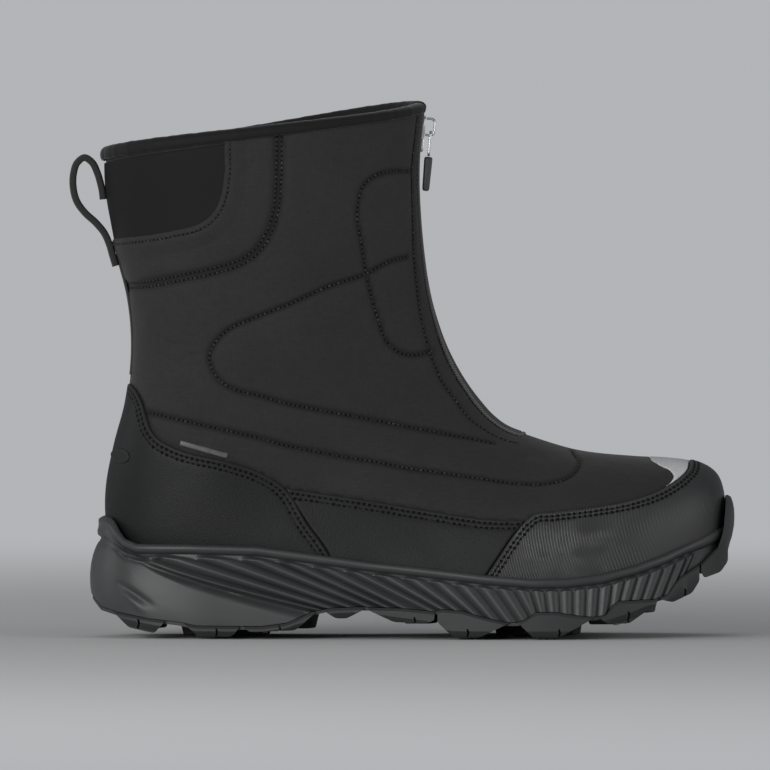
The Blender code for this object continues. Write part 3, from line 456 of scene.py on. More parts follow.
def toeRubberFinish():
    # slanted hairline ribs that fade towards the front, over a matt rubber; besides their relief the ribs are painted
    # paler on their crests and darker in their grooves, in patches, as painted highlights and shade
    look = {"dark": 0.020, "pale": 0.062, "worn": 0.06, "roughness": 0.46, "pitch": 1.25 * mm, "rib": 0.0005}
    f = Finish("textured rubber", Specular_IOR_Level=0.45)
    x, y, z = f.parts(f.where)
    slant = x * 0.95 + z * 0.30 + f.maths("ABSOLUTE", y) * 0.55
    wobble = f.noise(60.0, 2.0)
    line = f.sine((slant + wobble * 0.0012) * (2 * math.pi / look["pitch"])) * 0.5 + 0.5
    patchyHighlight = f.spread(f.noise((34, 34, 60), 2.0), 0.42, 0.62)
    rear = f.spread(x, 0.136, 0.060)
    share = f.limit(rear * 0.85 + 0.1) * (patchyHighlight * 0.8 + 0.2)
    grain = f.noise(1500.0, 2.0)
    cloud = f.noise(34.0, 3.0)
    # painted highlights and shade: in patches, the rib lines make the colour paler on their crests and darker in
    # their grooves
    tone = f.limit((line - 0.4) * share * 1.3 + (cloud - 0.5) * 0.5 + 0.36)
    colour = f.blend(tone, *greys(look["dark"], look["pale"], 0.98, 1.0, 1.02))
    colour = f.blend(f.attribute("edge") * 0.35, colour, grey(look["worn"]))
    rough = f.limit(look["roughness"] - line * share * 0.10 + (cloud - 0.5) * 0.2)
    fine = f.raised(grain, 0.00006, 0.6)
    return f.ready(colour, rough, f.raised(line * share, look["rib"], 0.8, fine))


def soleFinish(name, dark, pale, roughness, grain):
    # moulded rubber with a fine grain, a little scuffed
    f = Finish(name, Specular_IOR_Level=0.5)
    fine = f.noise(1300.0, 3.0)
    cloud = f.noise(38.0, 4.0)
    scuff = f.spread(f.noise((60, 60, 420), 4.0, 0.7), 0.52, 0.75)
    tone = f.limit((cloud - 0.5) * 1.1 + (fine - 0.5) * 0.35 + 0.5)
    colour = f.blend(tone, *greys(dark, pale, 0.97, 1.0, 1.03))
    colour = f.blend(scuff * 0.18, colour, grey(pale * 1.5))
    rough = f.limit(roughness + scuff * 0.12 + (cloud - 0.5) * 0.16)
    return f.ready(colour, rough, f.raised(fine, grain, 0.5))


def webbingFinish(name, dark, pale, rib):
    # close ribs across a doubled tape, each with a twist in its yarn
    yarnWidth = 1.0 * mm
    f = Finish(name, Sheen_Weight=0.1, Sheen_Roughness=0.5, Specular_IOR_Level=0.3)
    across, along, _ = f.parts(f.weave())
    twill = f.sine((along + f.maths("ABSOLUTE", across) * 0.9) * (2 * math.pi / rib)) * 0.5 + 0.5
    yarn = f.sine(across * (2 * math.pi / yarnWidth)) * 0.5 + 0.5
    fuzz = f.noise(900.0, 3.0)
    height = f.limit(twill * 0.5 + yarn * 0.3 + fuzz * 0.2)
    colour = f.blend(height, grey(dark), grey(pale, 1.0, 0.99, 1.02))
    rough = f.limit(0.9 - height * 0.15)
    return f.ready(colour, rough, f.raised(height, 0.0003, 0.8))


def metalFinish(name, colour, roughness):
    f = Finish(name, Metallic=1.0)
    brushed = f.noise((900, 900, 160), 3.0)
    cloud = f.noise(220.0, 3.0)
    tone = f.limit(brushed * 0.5 + cloud * 0.5)
    colour = f.blend(tone, grey(colour * 0.78), grey(colour * 1.08, 1, 1, 1.01))
    rough = f.limit(roughness + (tone - 0.5) * 0.25)
    return f.ready(colour, rough, f.raised(brushed, 0.00003, 0.4))


def sleeveFinish():
    f = Finish("grey rubber")
    fine = f.noise(1600.0, 3.0)
    cloud = f.noise(180.0, 2.0)
    colour = f.blend(f.limit(fine * 0.5 + cloud * 0.5), *greys(0.044, 0.064, 1, 1.02, 1))
    rough = f.limit(0.5 + (cloud - 0.5) * 0.3)
    return f.ready(colour, rough, f.raised(fine, 0.00006, 0.6))


def reflectorFinish(name, dark, pale):
    # glass beads in a pale film, in a tight hexagon grid
    f = Finish(name, Coat_Weight=0.25, Coat_Roughness=0.25)
    bead = f.cells(1700.0)
    cloud = f.noise(90.0, 3.0)
    tone = f.limit((0.6 - bead) * 1.2 + (cloud - 0.5) * 0.5)
    colour = f.blend(tone, grey(dark), grey(pale, 1, 1, 1.01))
    rough = f.limit(0.36 + bead * 0.2)
    return f.ready(colour, rough, f.raised(bead, 0.00008, 0.5))


def feltFinish():
    f = Finish("dark felt", Sheen_Weight=0.2, Sheen_Roughness=0.6, Specular_IOR_Level=0.2)
    fuzz = f.noise(700.0, 5.0, 0.7)
    cloud = f.noise(50.0, 3.0)
    tone = f.limit(fuzz * 0.7 + cloud * 0.3)
    colour = f.blend(tone, grey(0.007), grey(0.019, 1, 0.99, 1.02))
    return f.ready(colour, f.limit(0.88 + tone * 0.1), f.raised(fuzz, 0.0004, 0.7))


def threadFinish(name, colour):
    # twisted thread; the needle hole beside each stitch is a flat disc coloured near black, painted shade in the hole
    f = Finish(name, Specular_IOR_Level=0.35)
    twist = f.noise(2600.0, 2.0)
    fleck = f.spread(f.noise(420.0, 2.0), 0.5, 0.66)
    colour = f.blend(f.limit(twist * 0.3 + fleck * 0.7), *greys(colour * 0.5, colour * 2.4))
    hole = f.attribute("hole")
    # painted shade: the needle-hole disc is coloured near black
    colour = f.blend(hole, colour, grey(0.0006))
    rough = f.limit(0.62 + twist * 0.2 + hole * 0.3)
    return f.ready(colour, rough, f.raised(twist, 0.0001, 0.6))


def floorFinish():
    # far from the boot the floor turns into the plain backdrop's own light
    f = Finish("studio floor", Specular_IOR_Level=0.0, Emission_Strength=1.0)
    x, y, _ = f.parts(f.where)
    far = f.spread(f.maths("SQRT", x * x + y * y), 0.15, 1.7)
    speck = f.noise(3.0, 2.0)
    glow = f.blend(far, grey(0.0), backdrop)
    base = f.blend(far, f.blend(speck, *greys(0.68, 0.70)), grey(0.0))
    return f.ready(base, 0.9 + speck * 0.05, glow=glow)


backdrop, roomLight = (0.45, 0.46, 0.475, 1.0), (0.17, 0.174, 0.18, 1.0)

finishes = {
    "quilted_fabric": shellFabricFinish(),
    "smooth_fabric": smoothFabricFinish("smooth fabric", 0.0060, 0.04),
    "roll_fabric": smoothFabricFinish("roll fabric", 0.0075, 0.22),
    "coated_synthetic": coatedFinish(),
    "textured_rubber": toeRubberFinish(),
    "midsole_rubber": soleFinish("midsole rubber", 0.034, 0.052, 0.44, 0.00005),
    "tread_rubber": soleFinish("tread rubber", 0.027, 0.042, 0.55, 0.00010),
    "webbing": webbingFinish("webbing", 0.022, 0.040, 0.9 * mm),
    "edge_cord": webbingFinish("edge cord", 0.040, 0.170, 1.3 * mm),
    "bright_metal": metalFinish("bright metal", 0.72, 0.27),
    "stud_steel": metalFinish("stud steel", 0.50, 0.34),
    "grey_rubber": sleeveFinish(),
    "reflective": reflectorFinish("reflective", 0.60, 0.92),
    "bare_tag": reflectorFinish("bare tag", 0.07, 0.14),
    "dark_felt": feltFinish(),
    "fabric_thread": threadFinish("fabric thread", 0.023),
    "panel_thread": threadFinish("panel thread", 0.016),
    "studio_floor": floorFinish(),
}
print("finishes made:", len(finishes))


# Meshes


def newObject(name, points, edges=(), faces=(), shift=moved):
    # points are in the boot's own measure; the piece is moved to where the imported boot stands
    mesh = bpy.data.meshes.new(name)
    mesh.from_pydata((np.asarray(points) + shift).tolist(), edges, [tuple(map(int, face)) for face in faces])
    made = bpy.data.objects.new(name, mesh)
    bpy.context.scene.collection.objects.link(made)
    return made


def mark(made, key, values):
    # a number on every point, for the finishes
    made.data.attributes.new(key, "FLOAT", "POINT").data.foreach_set("value", np.asarray(values, np.float32))


def declare(made, replaces, body="boot"):
    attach(made, body)
    if replaces:
        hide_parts(*replaces)
    return made


def dress(made, finish, replaces, body="boot", sharp=None):
    made.data.materials.clear()
    made.data.materials.append(finishes[finish])
    made.data.shade_smooth()
    if sharp is not None:
        made.data.set_sharp_from_angle(angle=math.radians(sharp))
    return declare(made, replaces, body)


def pieceFrom(name, points, faces, finish, weave, replaces, sharp, values=()):
    # weave: where each point lies on the unrolled cloth
    made = newObject(name, points, faces=faces)
    for key, numbers in dict(values).items():
        mark(made, key, numbers)
    layer = made.data.uv_layers.new(name="weave")
    corners = np.zeros(len(made.data.loops), np.int32)
    made.data.loops.foreach_get("vertex_index", corners)
    layer.data.foreach_set("uv", np.asarray(weave, np.float32)[corners].ravel())
    return dress(made, finish, replaces, sharp=sharp)


def ringPiece(name, rings, weave, finish, replaces, sharp=None):
    rings, weave = np.asarray(rings), np.reshape(weave, (-1, 2))
    faces = ringFaces(*rings.shape[:2])
    return tidied(pieceFrom(name, rings.reshape(-1, 3), faces, finish, weave, replaces, sharp))


def tidied(made, triangulated=False):
    work = bmesh.new()
    work.from_mesh(made.data)
    bmesh.ops.remove_doubles(work, verts=work.verts, dist=1e-6)
    if triangulated:
        bmesh.ops.triangulate(work, faces=work.faces)
    bmesh.ops.recalc_face_normals(work, faces=work.faces)
    work.to_mesh(made.data)
    work.free()
    return made


def solidFrom(name, points, faces):
    # a closed body without a finish yet, for cutting
    return tidied(newObject(name, points, faces=faces), True)


def ringSolid(name, rings, filled=ringFaces):
    rings = np.asarray(rings)
    return solidFrom(name, rings.reshape(-1, 3), filled(*rings.shape[:2]))


def cut(target, other, operation="DIFFERENCE"):
    modifier = target.modifiers.new("cut", "BOOLEAN")
    modifier.operation, modifier.object, modifier.solver = operation, other, "MANIFOLD"
    settle(target)
    bpy.data.objects.remove(other)
    return target


def settle(made):
    # turns the evaluated object into its own plain mesh
    bpy.context.view_layer.update()
    graph = bpy.context.evaluated_depsgraph_get()
    mesh = bpy.data.meshes.new_from_object(made.evaluated_get(graph), depsgraph=graph)
    made.modifiers.clear()
    old, made.data = made.data, mesh
    mesh.name = made.name
    bpy.data.meshes.remove(old)


def slab(outline, ends):
    # a side view's outline from one y to another, as points and faces
    return [(x, y, z) for y in ends for x, z in outline], ringFaces(2, len(outline))


def acrossPrism(name, outline, low=-beside, high=beside):
    return solidFrom(name, *slab(outline, (low, high)))


def underPrism(name, table, drop=0.0):
    # all that lies under a line of the side view
    line = [(x, z - drop) for x, z in table]
    return acrossPrism(name, [*line, (table[-1, 0], underfoot), (table[0, 0], underfoot)])


def insidePolygon(spots, outline):
    # even and odd crossings, for many spots at once
    spots, outline = np.asarray(spots), np.asarray(outline)
    inside = np.zeros(len(spots), bool)
    for (x1, y1), (x2, y2) in zip(outline, np.roll(outline, -1, axis=0)):
        if y1 == y2:
            continue
        crosses = (y1 > spots[:, 1]) != (y2 > spots[:, 1])
        inside ^= crosses & (spots[:, 0] < (x2 - x1) * (spots[:, 1] - y1) / (y2 - y1) + x1)
    return inside


def treeOf(points):
    tree = KDTree(len(points))
    for i, point in enumerate(points):
        tree.insert(Vector(point), i)
    tree.balance()
    return tree


def distances(tree, points):
    return np.array([tree.find(Vector(point))[2] for point in points])


def denser(points, spacing=0.25 * mm):
    points = np.asarray(points)
    pieces = []
    for start, end in zip(points[:-1], points[1:]):
        count = max(int(np.linalg.norm(end - start) / spacing), 1)
        pieces.append(start + (end - start) * np.linspace(0, 1, count, endpoint=False)[:, None])
    return np.vstack([*pieces, points[-1:]])


# Lines of the pattern, seen from the side: x and z in millimetres

pattern = {
    "counterEdge": [
        (114.1, 32.7), (111.6, 38.9), (101.5, 53.5), (90.5, 70.6), (79.3, 77.6), (66.1, 82.1), (38.5, 89.6),
        (31.9, 93.3), (28.4, 98), (26.5, 103.7), (24.6, 110.2), (21.6, 115.8), (16, 121),
    ],
    "bandTop": [(90.5, 70.6), (98, 69.4), (131.3, 64.3), (156.6, 60), (185.3, 55.8), (204, 55.2)],
    "toeCapEdge": [
        (181.6, 24), (186, 30.5), (191, 38), (198.5, 48.9), (202.7, 53.9), (207.7, 57.7), (215.3, 58.6),
        (237.1, 61.1), (251.4, 63.6), (262.2, 66.8), (270.1, 70.4), (276.6, 74.6), (280.2, 78.4), (280.6, 81),
        (277.5, 85),
    ],
    "patchEdge": [
        (63.7, 260), (63.7, 231.8), (63.4, 214.7), (62, 206.8), (60, 201.5), (56.8, 197), (52.2, 193.7),
        (39, 190), (10.4, 185.7), (-5, 183.5),
    ],
    "reflectorBack": [
        (262.2, 84.6), (262.2, 82.6), (266, 80), (271.2, 77.6), (273, 75.2), (272, 73), (269, 70.4),
    ],
    "lip": [
        (0, 56.5), (4, 56), (7, 54), (10, 50.6), (14.5, 46.2), (21, 44), (46, 44),
        (78, 43.2), (110, 38.8), (132, 35.8), (157, 33.2), (184, 30), (207, 28.2), (223, 28.4),
        (240, 30.4), (256, 34.4), (270, 39.2), (282, 44.6), (291, 48.7), (296, 51.2), (299.6, 52.8),
    ],
}

# Quilting seams: the line, and whether it has one row of stitches or two
seams = {
    "collarSeam": ([
        (88.8, 250), (88.6, 235), (88.2, 212.9), (87.2, 201.2), (83.5, 189), (76.4, 179.6), (69.4, 175.4),
        (57.2, 171.7), (39.4, 167.9), (24.9, 165.1), (14, 164.2),
    ], 2),
    "placketLoop": ([
        (149.1, 218.1), (141.2, 218.1), (132.7, 215.7), (128, 211.5), (125.7, 204.5), (125.2, 195.1),
        (127.1, 184.3), (129, 171.7), (130.9, 162.7), (134.6, 149.6), (139.8, 137.4), (146.8, 132.7),
        (152.9, 132.3), (159.9, 134.1),
    ], 1),
    "shinSweep": ([
        (148.7, 178.2), (141.2, 176.3), (129, 170.2), (112.1, 164.6), (93.3, 156.2), (76.4, 149.6),
        (64.3, 144), (58.6, 138.4), (55.8, 131.8), (57.2, 125.7), (61.9, 119.6), (69.4, 115.8),
        (78.8, 113.5), (92.4, 109.7), (106, 106.9), (121.5, 104.1), (131.3, 102.2), (148.2, 99),
        (165.1, 95.7), (177.8, 93.3), (188.5, 91),
    ], 1),
    "vampSeam": ([
        (27.2, 105.5), (41.3, 102.2), (55.3, 99), (66.1, 96.6), (78.3, 93.8), (92.4, 90), (106, 87.2),
        (121.5, 84.4), (131.3, 83), (148.2, 79.7), (165.1, 77.4), (182, 75), (198.4, 72.7),
        (214.8, 72.7), (222.3, 74.6), (227.5, 78.3), (228.9, 82.1), (227.2, 84.6), (225, 88.6),
    ], 1),
}

# The quilted upper

shell = {
    "puff": 0.75 * mm,  # how far the padding swells between the seams
    "swell": 8.0 * mm,  # how far from a seam it takes to swell
    "trough": (1.0 * mm, 1.5 * mm, 2.6 * mm),  # depth, and half width with one row and with two
    "tuckIn": 7.0 * mm,  # how far from a panel's edge the padding flattens
    "edgeDip": (0.35 * mm, 1.1 * mm),  # the tuck right at that edge: depth and half width
    "slot": 9.4 * mm,  # how wide the front is open at the zip
    "zipEnd": 8.35,  # the station where the slot ends
    "reach": 7 * mm,  # how far the slot's cutter goes in and out
    "cloth": 2.4 * mm,  # only this near the outer face do the seams get painted shade
    "lining": 2.6 * mm,  # and this far from the last the lining begins
    # soft creases: x, z, half length, half width, turn in degrees, depth (a ridge is negative)
    "creases": [
        (40.0, 138.0, 9.0, 1.2, -14, 0.48), (44.5, 134.0, 8.0, 1.1, -18, 0.52), (39.0, 130.0, 7.0, 1.1, -6, 0.42),
        (47.0, 127.5, 6.0, 1.1, -14, 0.46), (43.0, 141.5, 7.0, 1.2, -24, 0.40), (38.0, 125.0, 5.0, 1.0, -10, 0.34),
        (23.0, 150.0, 9.0, 2.6, 74, 0.35), (27.0, 171.0, 12.0, 3.0, 12, -0.45), (60.0, 186.0, 14.0, 3.5, 18, 0.25),
        (110.0, 150.0, 22.0, 5.0, 24, -0.30), (150.0, 108.0, 16.0, 2.6, -22, 0.35),
        (171.0, 104.0, 13.0, 2.0, -38, 0.45), (180.0, 84.0, 17.0, 3.0, -9, 0.30), (205.0, 84.0, 12.0, 2.4, -3, 0.35),
        (100.0, 98.0, 20.0, 4.0, -14, -0.25), (214.0, 66.0, 18.0, 4.0, 6, 0.25), (140.0, 72.0, 22.0, 4.0, -8, -0.25),
        (104.0, 222.0, 18.0, 6.0, 84, 0.20),
    ],
}
placket = {  # the padded border on each side of the zip
    "rows": (7.4 * mm, 14.6 * mm),  # its two stitch rows, from the middle
    "rowDip": (0.55 * mm, 1.1 * mm),  # depth and half width
    "ridge": (0.5 * mm, 11.5 * mm, 3.2 * mm),  # height, distance from the middle, half width
    "from": (0.098, 0.006),  # the height where it starts, and over what length it rises
    "front": 0.13,  # all of it lies in front of this
}


def sidePolygons():
    # what the panels cover, in the side view
    counterEdge, bandTop, toeCapEdge = (pattern[name] for name in ("counterEdge", "bandTop", "toeCapEdge"))
    low = [(x, z - 6.0) for x, z in pattern["lip"]]
    return {
        "counter": [*counterEdge, (-90, 121), (-90, 20), (114.1, 20)],
        "band": [*counterEdge[:4], *bandTop[1:], *toeCapEdge[4::-1], *low[13:8:-1]],
        "toeCap": [*toeCapEdge, (400, 85), (400, 10), (181.6, 10)],
        "patch": [*pattern["patchEdge"], (-90, 183.5), (-90, 260)],
        "reflector": [*pattern["reflectorBack"], *toeCapEdge[10:]],
    }


# every seam on both sides, as places on the net
seamPaths = {
    (name, side): (sidePath(line, side), rows) for name, (line, rows) in seams.items() for side in (-1, 1)
}
edgePaths = {
    (name, side): sidePath(pattern[name], side)
    for name in ("counterEdge", "bandTop", "toeCapEdge", "patchEdge")
    for side in (-1, 1)
}


def swelling():
    # how far each corner of the net stands out, and how much painted shade it gets in a seam trough, a stitch-row dip
    # or a tuck at a panel's edge
    flat = netPoints.reshape(-1, 3)
    relief = np.full(len(flat), shell["puff"])
    crease = np.zeros(len(flat))
    depth, single, double = shell["trough"]
    for rows, half in ((1, single), (2, double)):
        lines = [denser(onNet(netPoints, path)) for path, count in seamPaths.values() if count == rows]
        away = distances(treeOf(np.vstack(lines)), flat)
        relief = np.minimum(relief, shell["puff"] * (1 - bump(away, shell["swell"], 1.3)))
        relief -= depth * bump(away, half, 2 * rows) * (0.75 + 0.25 * np.minimum(relief / shell["puff"], 1))
        crease = np.maximum(crease, bump(away, half * 1.12, 4))
    covered = np.zeros(len(flat), bool)
    for outline in sidePolygons().values():
        covered |= insidePolygon(flat[:, [0, 2]], np.array(outline) * mm)
    edges = treeOf(np.vstack([denser(onNet(netPoints, path)) for path in edgePaths.values()]))
    near = distances(edges, flat)
    relief = np.where(relief > 0, relief * np.clip(near / shell["tuckIn"], 0, 1) ** 0.7, relief)
    deep, half = shell["edgeDip"]
    relief -= deep * bump(near, half) * ~covered
    crease = np.maximum(crease, 0.9 * bump(near, 0.9 * mm) * ~covered)
    for x, z, long, wide, turn, deep in shell["creases"]:
        cos, sin = math.cos(math.radians(turn)), math.sin(math.radians(turn))
        dx, dz = flat[:, 0] / mm - x, flat[:, 2] / mm - z
        u, v = dx * cos + dz * sin, -dx * sin + dz * cos
        v = v + 0.9 * np.sin(u * 0.45 + x)  # no crease runs quite straight
        relief -= deep * mm * np.exp(-((u / long) ** 4) - (v / wide) ** 2) * np.clip(near / (4 * mm), 0, 1)
    beyond = np.abs(flat[:, 1])
    start, reach = placket["from"]
    fade = np.clip((flat[:, 2] - start) / reach, 0, 1) * (flat[:, 0] > placket["front"])
    height, middle, half = placket["ridge"]
    relief += height * fade * bump(beyond - middle, half, 4)
    deep, half = placket["rowDip"]
    for row in placket["rows"]:
        dip = bump(beyond - row, half) * fade
        relief -= deep * dip
        crease = np.maximum(crease, 0.8 * dip)
    relief = np.where(covered, np.minimum(relief, 0) - 0.1 * mm, relief)
    shape = netPoints.shape[:2]
    return relief.reshape(shape), np.clip(crease, 0, 1).reshape(shape)


netRelief, netSeamShade = swelling()
clothPoints = netPoints + netRelief[..., None] * netNormals
print("padding swelled and creased")

footbed = np.array([
    (-10, 36.2), (46, 35), (92, 33), (130, 28), (156, 25), (184, 22), (207, 20.5),
    (223, 21), (248, 25.5), (266, 31), (280, 37), (290, 42), (310, 54),
]) * mm


def netForm(name, offset, every, toTop=False):
    # the whole sock shape at an offset from the last, closed at the toe and the collar
    last = net["rows"] - 1 if toTop else collarRow
    rows = np.unique(np.append(np.arange(0, last, every), last))
    rings = netPoints[rows][:, ::every] + offset * netNormals[rows][:, ::every]
    if toTop:
        rings = np.append(rings, rings[-1:] + [0, 0, 12 * mm], axis=0)
    return ringSolid(name, rings)


def frontStrip(start):
    # a strip of the side view along the zip, from inside the wall to well in front of it
    points, normals = surface(downFront(np.linspace(start, net["rows"] - 1, 40)))
    reach = shell["reach"]
    inside, outside = (points - reach * normals)[:, [0, 2]], (points + reach * normals)[:, [0, 2]]
    inside[-1, 1] += reach
    outside[-1, 1] += reach
    return [*inside, *outside[::-1]]


def rowAt(station):
    return float(np.interp(station, stations, np.arange(net["rows"])))


def downFront(rows):
    # net places on the front's middle line
    return np.column_stack([rows, np.full(len(rows), float(halfway))])


def makeUpper():
    rings = clothPoints[: collarRow + 1]
    outer = ringSolid("quiltedUpper", rings)
    cut(outer, netForm("lining", -gaps["wall"], 3, toTop=True))
    cut(outer, underPrism("underFoot", footbed, -gaps["seat"]))
    half = shell["slot"] / 2
    cut(outer, acrossPrism("zipSlot", frontStrip(rowAt(shell["zipEnd"])), -half, half))
    places = treeOf(rings.reshape(-1, 3) + moved)
    crease = netSeamShade[: collarRow + 1].ravel()
    found = [places.find(vertex.co) for vertex in outer.data.vertices]
    # the painted seam shade, kept to the cloth's outer face
    mark(outer, "crease", [crease[i] if away < shell["cloth"] else 0.0 for _, i, away in found])
    dress(outer, "quilted_fabric", replaces=("upper",), sharp=55)
    outer.data.materials.append(finishes["dark_felt"])  # the lining
    for face in outer.data.polygons:
        away = lastTree.find_nearest(face.center - Vector(moved))[3]
        face.material_index = int(away > shell["lining"])


makeUpper()
print("upper made")


# Panels laid over the upper

def layToe(places):
    # round the toe the net is laid out as rings about the toe's tip
    turn = places[:, 1] * 2 * math.pi / net["columns"]
    return (places[:, :1] + 1) * rowStep * np.stack([np.cos(turn), np.sin(turn)], axis=1)


def liftToe(flat):
    turn = np.arctan2(flat[:, 1], flat[:, 0]) * net["columns"] / (2 * math.pi)
    return np.stack([np.hypot(flat[:, 0], flat[:, 1]) / rowStep - 1, turn % net["columns"]], axis=1)


def layFront(places):
    # elsewhere rows and columns stay as they are, with the front in the middle, or the back
    return np.stack([places[:, 1] * net["columnStep"], places[:, 0] * rowStep], axis=1)


def layBack(places):
    columns = (places[:, 1] + halfway) % net["columns"] - halfway
    return layFront(np.stack([places[:, 0], columns], axis=1))


def liftRest(flat):
    return np.stack([flat[:, 1] / rowStep, flat[:, 0] / net["columnStep"] % net["columns"]], axis=1)


charts = {"toe": (layToe, liftToe), "front": (layFront, liftRest), "back": (layBack, liftRest)}


def evenly(path, chart, spacing):
    # a line of net places walked at even steps along the surface
    lay, lift = charts[chart]
    flat = denser(lay(np.asarray(path, float)), 0.4 * mm)
    walked = lengthAlong(onNet(netPoints, lift(flat)))
    at = np.linspace(0, walked[-1], max(int(walked[-1] / spacing), 3) + 1)
    return np.stack([np.interp(at, walked, flat[:, axis]) for axis in (0, 1)], axis=1)


# Every panel: the dip under a stitch row (depth, half width), how far the worn edge reaches, and the rings of points
# inside its outline, in millimetres, with stitch rows and without
panel = {
    "dip": (0.22 * mm, 0.75 * mm),
    "worn": 0.8 * mm,
    "rings": ([0.12, 0.35, 0.7, 1.2, 1.8, 2.4, 3.0, 3.7, 4.4, 5.1, 6.0], [0.12, 0.35, 0.7, 1.2, 2.0, 3.0]),
}


def makePanel(name, loop, chart, inner, thick, finish, replaces, rows=(), seam=None, rounding=0.9 * mm,
              spacing=2.2 * mm):
    # a layer inside a closed line, with rounded edges and a shallow dip under each stitch row
    lay, lift = charts[chart]
    outline = evenly([*loop, loop[0]], chart, 0.9 * mm)[:-1]
    edge, normals = surface(lift(outline))
    tree = treeOf(denser(np.vstack([edge, edge[:1]])))
    inward = unit(np.cross(normals, np.roll(edge, -1, axis=0) - np.roll(edge, 1, axis=0)))
    probe = np.array([nearest(point) for point in (edge + 1.0 * mm * inward)[::25]])
    if insidePolygon(lay(probe), outline).mean() < 0.5:
        inward = -inward
    rings = panel["rings"][0 if rows else 1]
    flat = [outline]
    for reach in rings:
        line = edge + reach * mm * inward
        keep = distances(tree, line) > 0.93 * reach * mm
        places = np.array([nearest(point) for point in line[keep]])
        if len(places):
            spots = lay(places)
            flat.append(spots[insidePolygon(spots, outline)])
    low, high = outline.min(axis=0), outline.max(axis=0)
    across = np.arange(low[0], high[0], spacing)
    along = np.arange(low[1], high[1], spacing * 0.87)
    grid = np.array([(x + (i % 2) * spacing / 2, y) for i, y in enumerate(along) for x in across])
    grid = grid[insidePolygon(grid, outline)]
    if len(grid):
        flat.append(grid[distances(tree, onNet(netPoints, lift(grid))) > (rings[-1] + 0.8) * mm])
    count = len(outline)
    made, _, faces, *_ = delaunay_2d_cdt(
        [Vector(spot) for spot in np.vstack(flat)], [(i, (i + 1) % count) for i in range(count)], [], 1, 1e-8, False
    )
    spots, faces = np.array([tuple(spot) for spot in made]), np.array([tuple(face) for face in faces])
    base, out = surface(lift(spots))
    away = distances(tree, base)
    rise = thick * (0.2 + 0.8 * np.sqrt(1 - (1 - np.clip(away / rounding, 0, 1)) ** 2))
    fromEdge = away if seam is None else distances(seam, base)
    depth, half = panel["dip"]
    for row in rows:
        rise = rise - depth * bump(fromEdge - row, half) * (away > 0.5 * mm)
    worn = bump(fromEdge, panel["worn"])
    top, bottom = base + (inner + rise)[:, None] * out, base + inner * out
    # slivers along the outline and what lies outside it are left out
    a, b, c = (spots[faces[:, i]] for i in range(3))
    long = np.max([np.linalg.norm(side, axis=1) for side in (a - b, b - c, c - a)], axis=0)
    area = np.abs((b - a)[:, 0] * (c - a)[:, 1] - (b - a)[:, 1] * (c - a)[:, 0])
    thin = (faces < count).all(axis=1) & (area / np.maximum(long, 1e-9) < 0.08 * mm)
    faces = faces[insidePolygon((a + b + c) / 3, outline) & ~thin]
    a, b, c = (top[faces[:, i]] for i in range(3))
    turned = np.einsum("ij,ij->i", np.cross(b - a, c - a), out[faces[:, 0]]) < 0
    faces[turned] = faces[turned][:, ::-1]
    shift = len(top)
    sides = {(int(face[i]), int(face[(i + 1) % 3])): True for face in faces for i in range(3)}
    walls = [(b, a, a + shift, b + shift) for a, b in sides if (b, a) not in sides]
    every = [*map(tuple, faces), *[tuple(face[::-1] + shift) for face in faces], *walls]
    weave, values = lay(lift(spots)), {"edge": np.append(worn, worn)}
    return pieceFrom(name, np.vstack([top, bottom]), every, finish, np.vstack([weave, weave]), replaces, 75, values)


def lipLine(start, end):
    # the panels' low edge, inside the midsole's cup
    xs = np.linspace(start, end, max(int(abs(end - start) / 2), 2))
    return np.column_stack([xs, heightAt(np.array(pattern["lip"]), xs) - 5.5])


def sideTree(*names):
    lines = [denser(onNet(netPoints, edgePaths[name, side])) for name in names for side in (-1, 1)]
    return treeOf(np.vstack(lines))


def both(table):
    # the same side line on the outer and the inner side
    return sidePath(table, -1), sidePath(table, 1)


# how far a panel's two stitch rows lie inside its edge
seamInset = {"counter": (2.2 * mm, 4.4 * mm), "band": (2.2 * mm, 4.4 * mm), "toeCap": (2.1 * mm, 4.0 * mm)}


def makeWrap(name, edge, low, chart, finish, inset, node):
    # a panel that goes round the heel or the toe, down into the midsole
    outer, inner = both(pattern[edge])
    lowOuter, lowInner = both(lipLine(*low))
    makePanel(
        name, [*outer, *inner[::-1], *lowInner, *lowOuter[::-1]], chart, gaps["seat"], gaps["overlay"], finish,
        (node,), seamInset[inset], sideTree(edge),
    )


def makeBands():
    backEdge = np.array(pattern["counterEdge"][:4]) + (0.4, 0)
    frontEdge = np.array(pattern["toeCapEdge"][:5]) - (0.4, 0)
    for name, node, side in (("sideBandOuter", "side_band_outer", -1), ("sideBandInner", "side_band_inner", 1)):
        lines = [
            sidePath(backEdge, side), sidePath(pattern["bandTop"], side)[1:-1], sidePath(frontEdge[::-1], side),
            sidePath(lipLine(181.2, 114.5), side),
        ]
        makePanel(
            name, np.vstack(lines), "front", gaps["seat"], gaps["overlay"], "coated_synthetic", (node,),
            seamInset["band"], sideTree("bandTop"),
        )


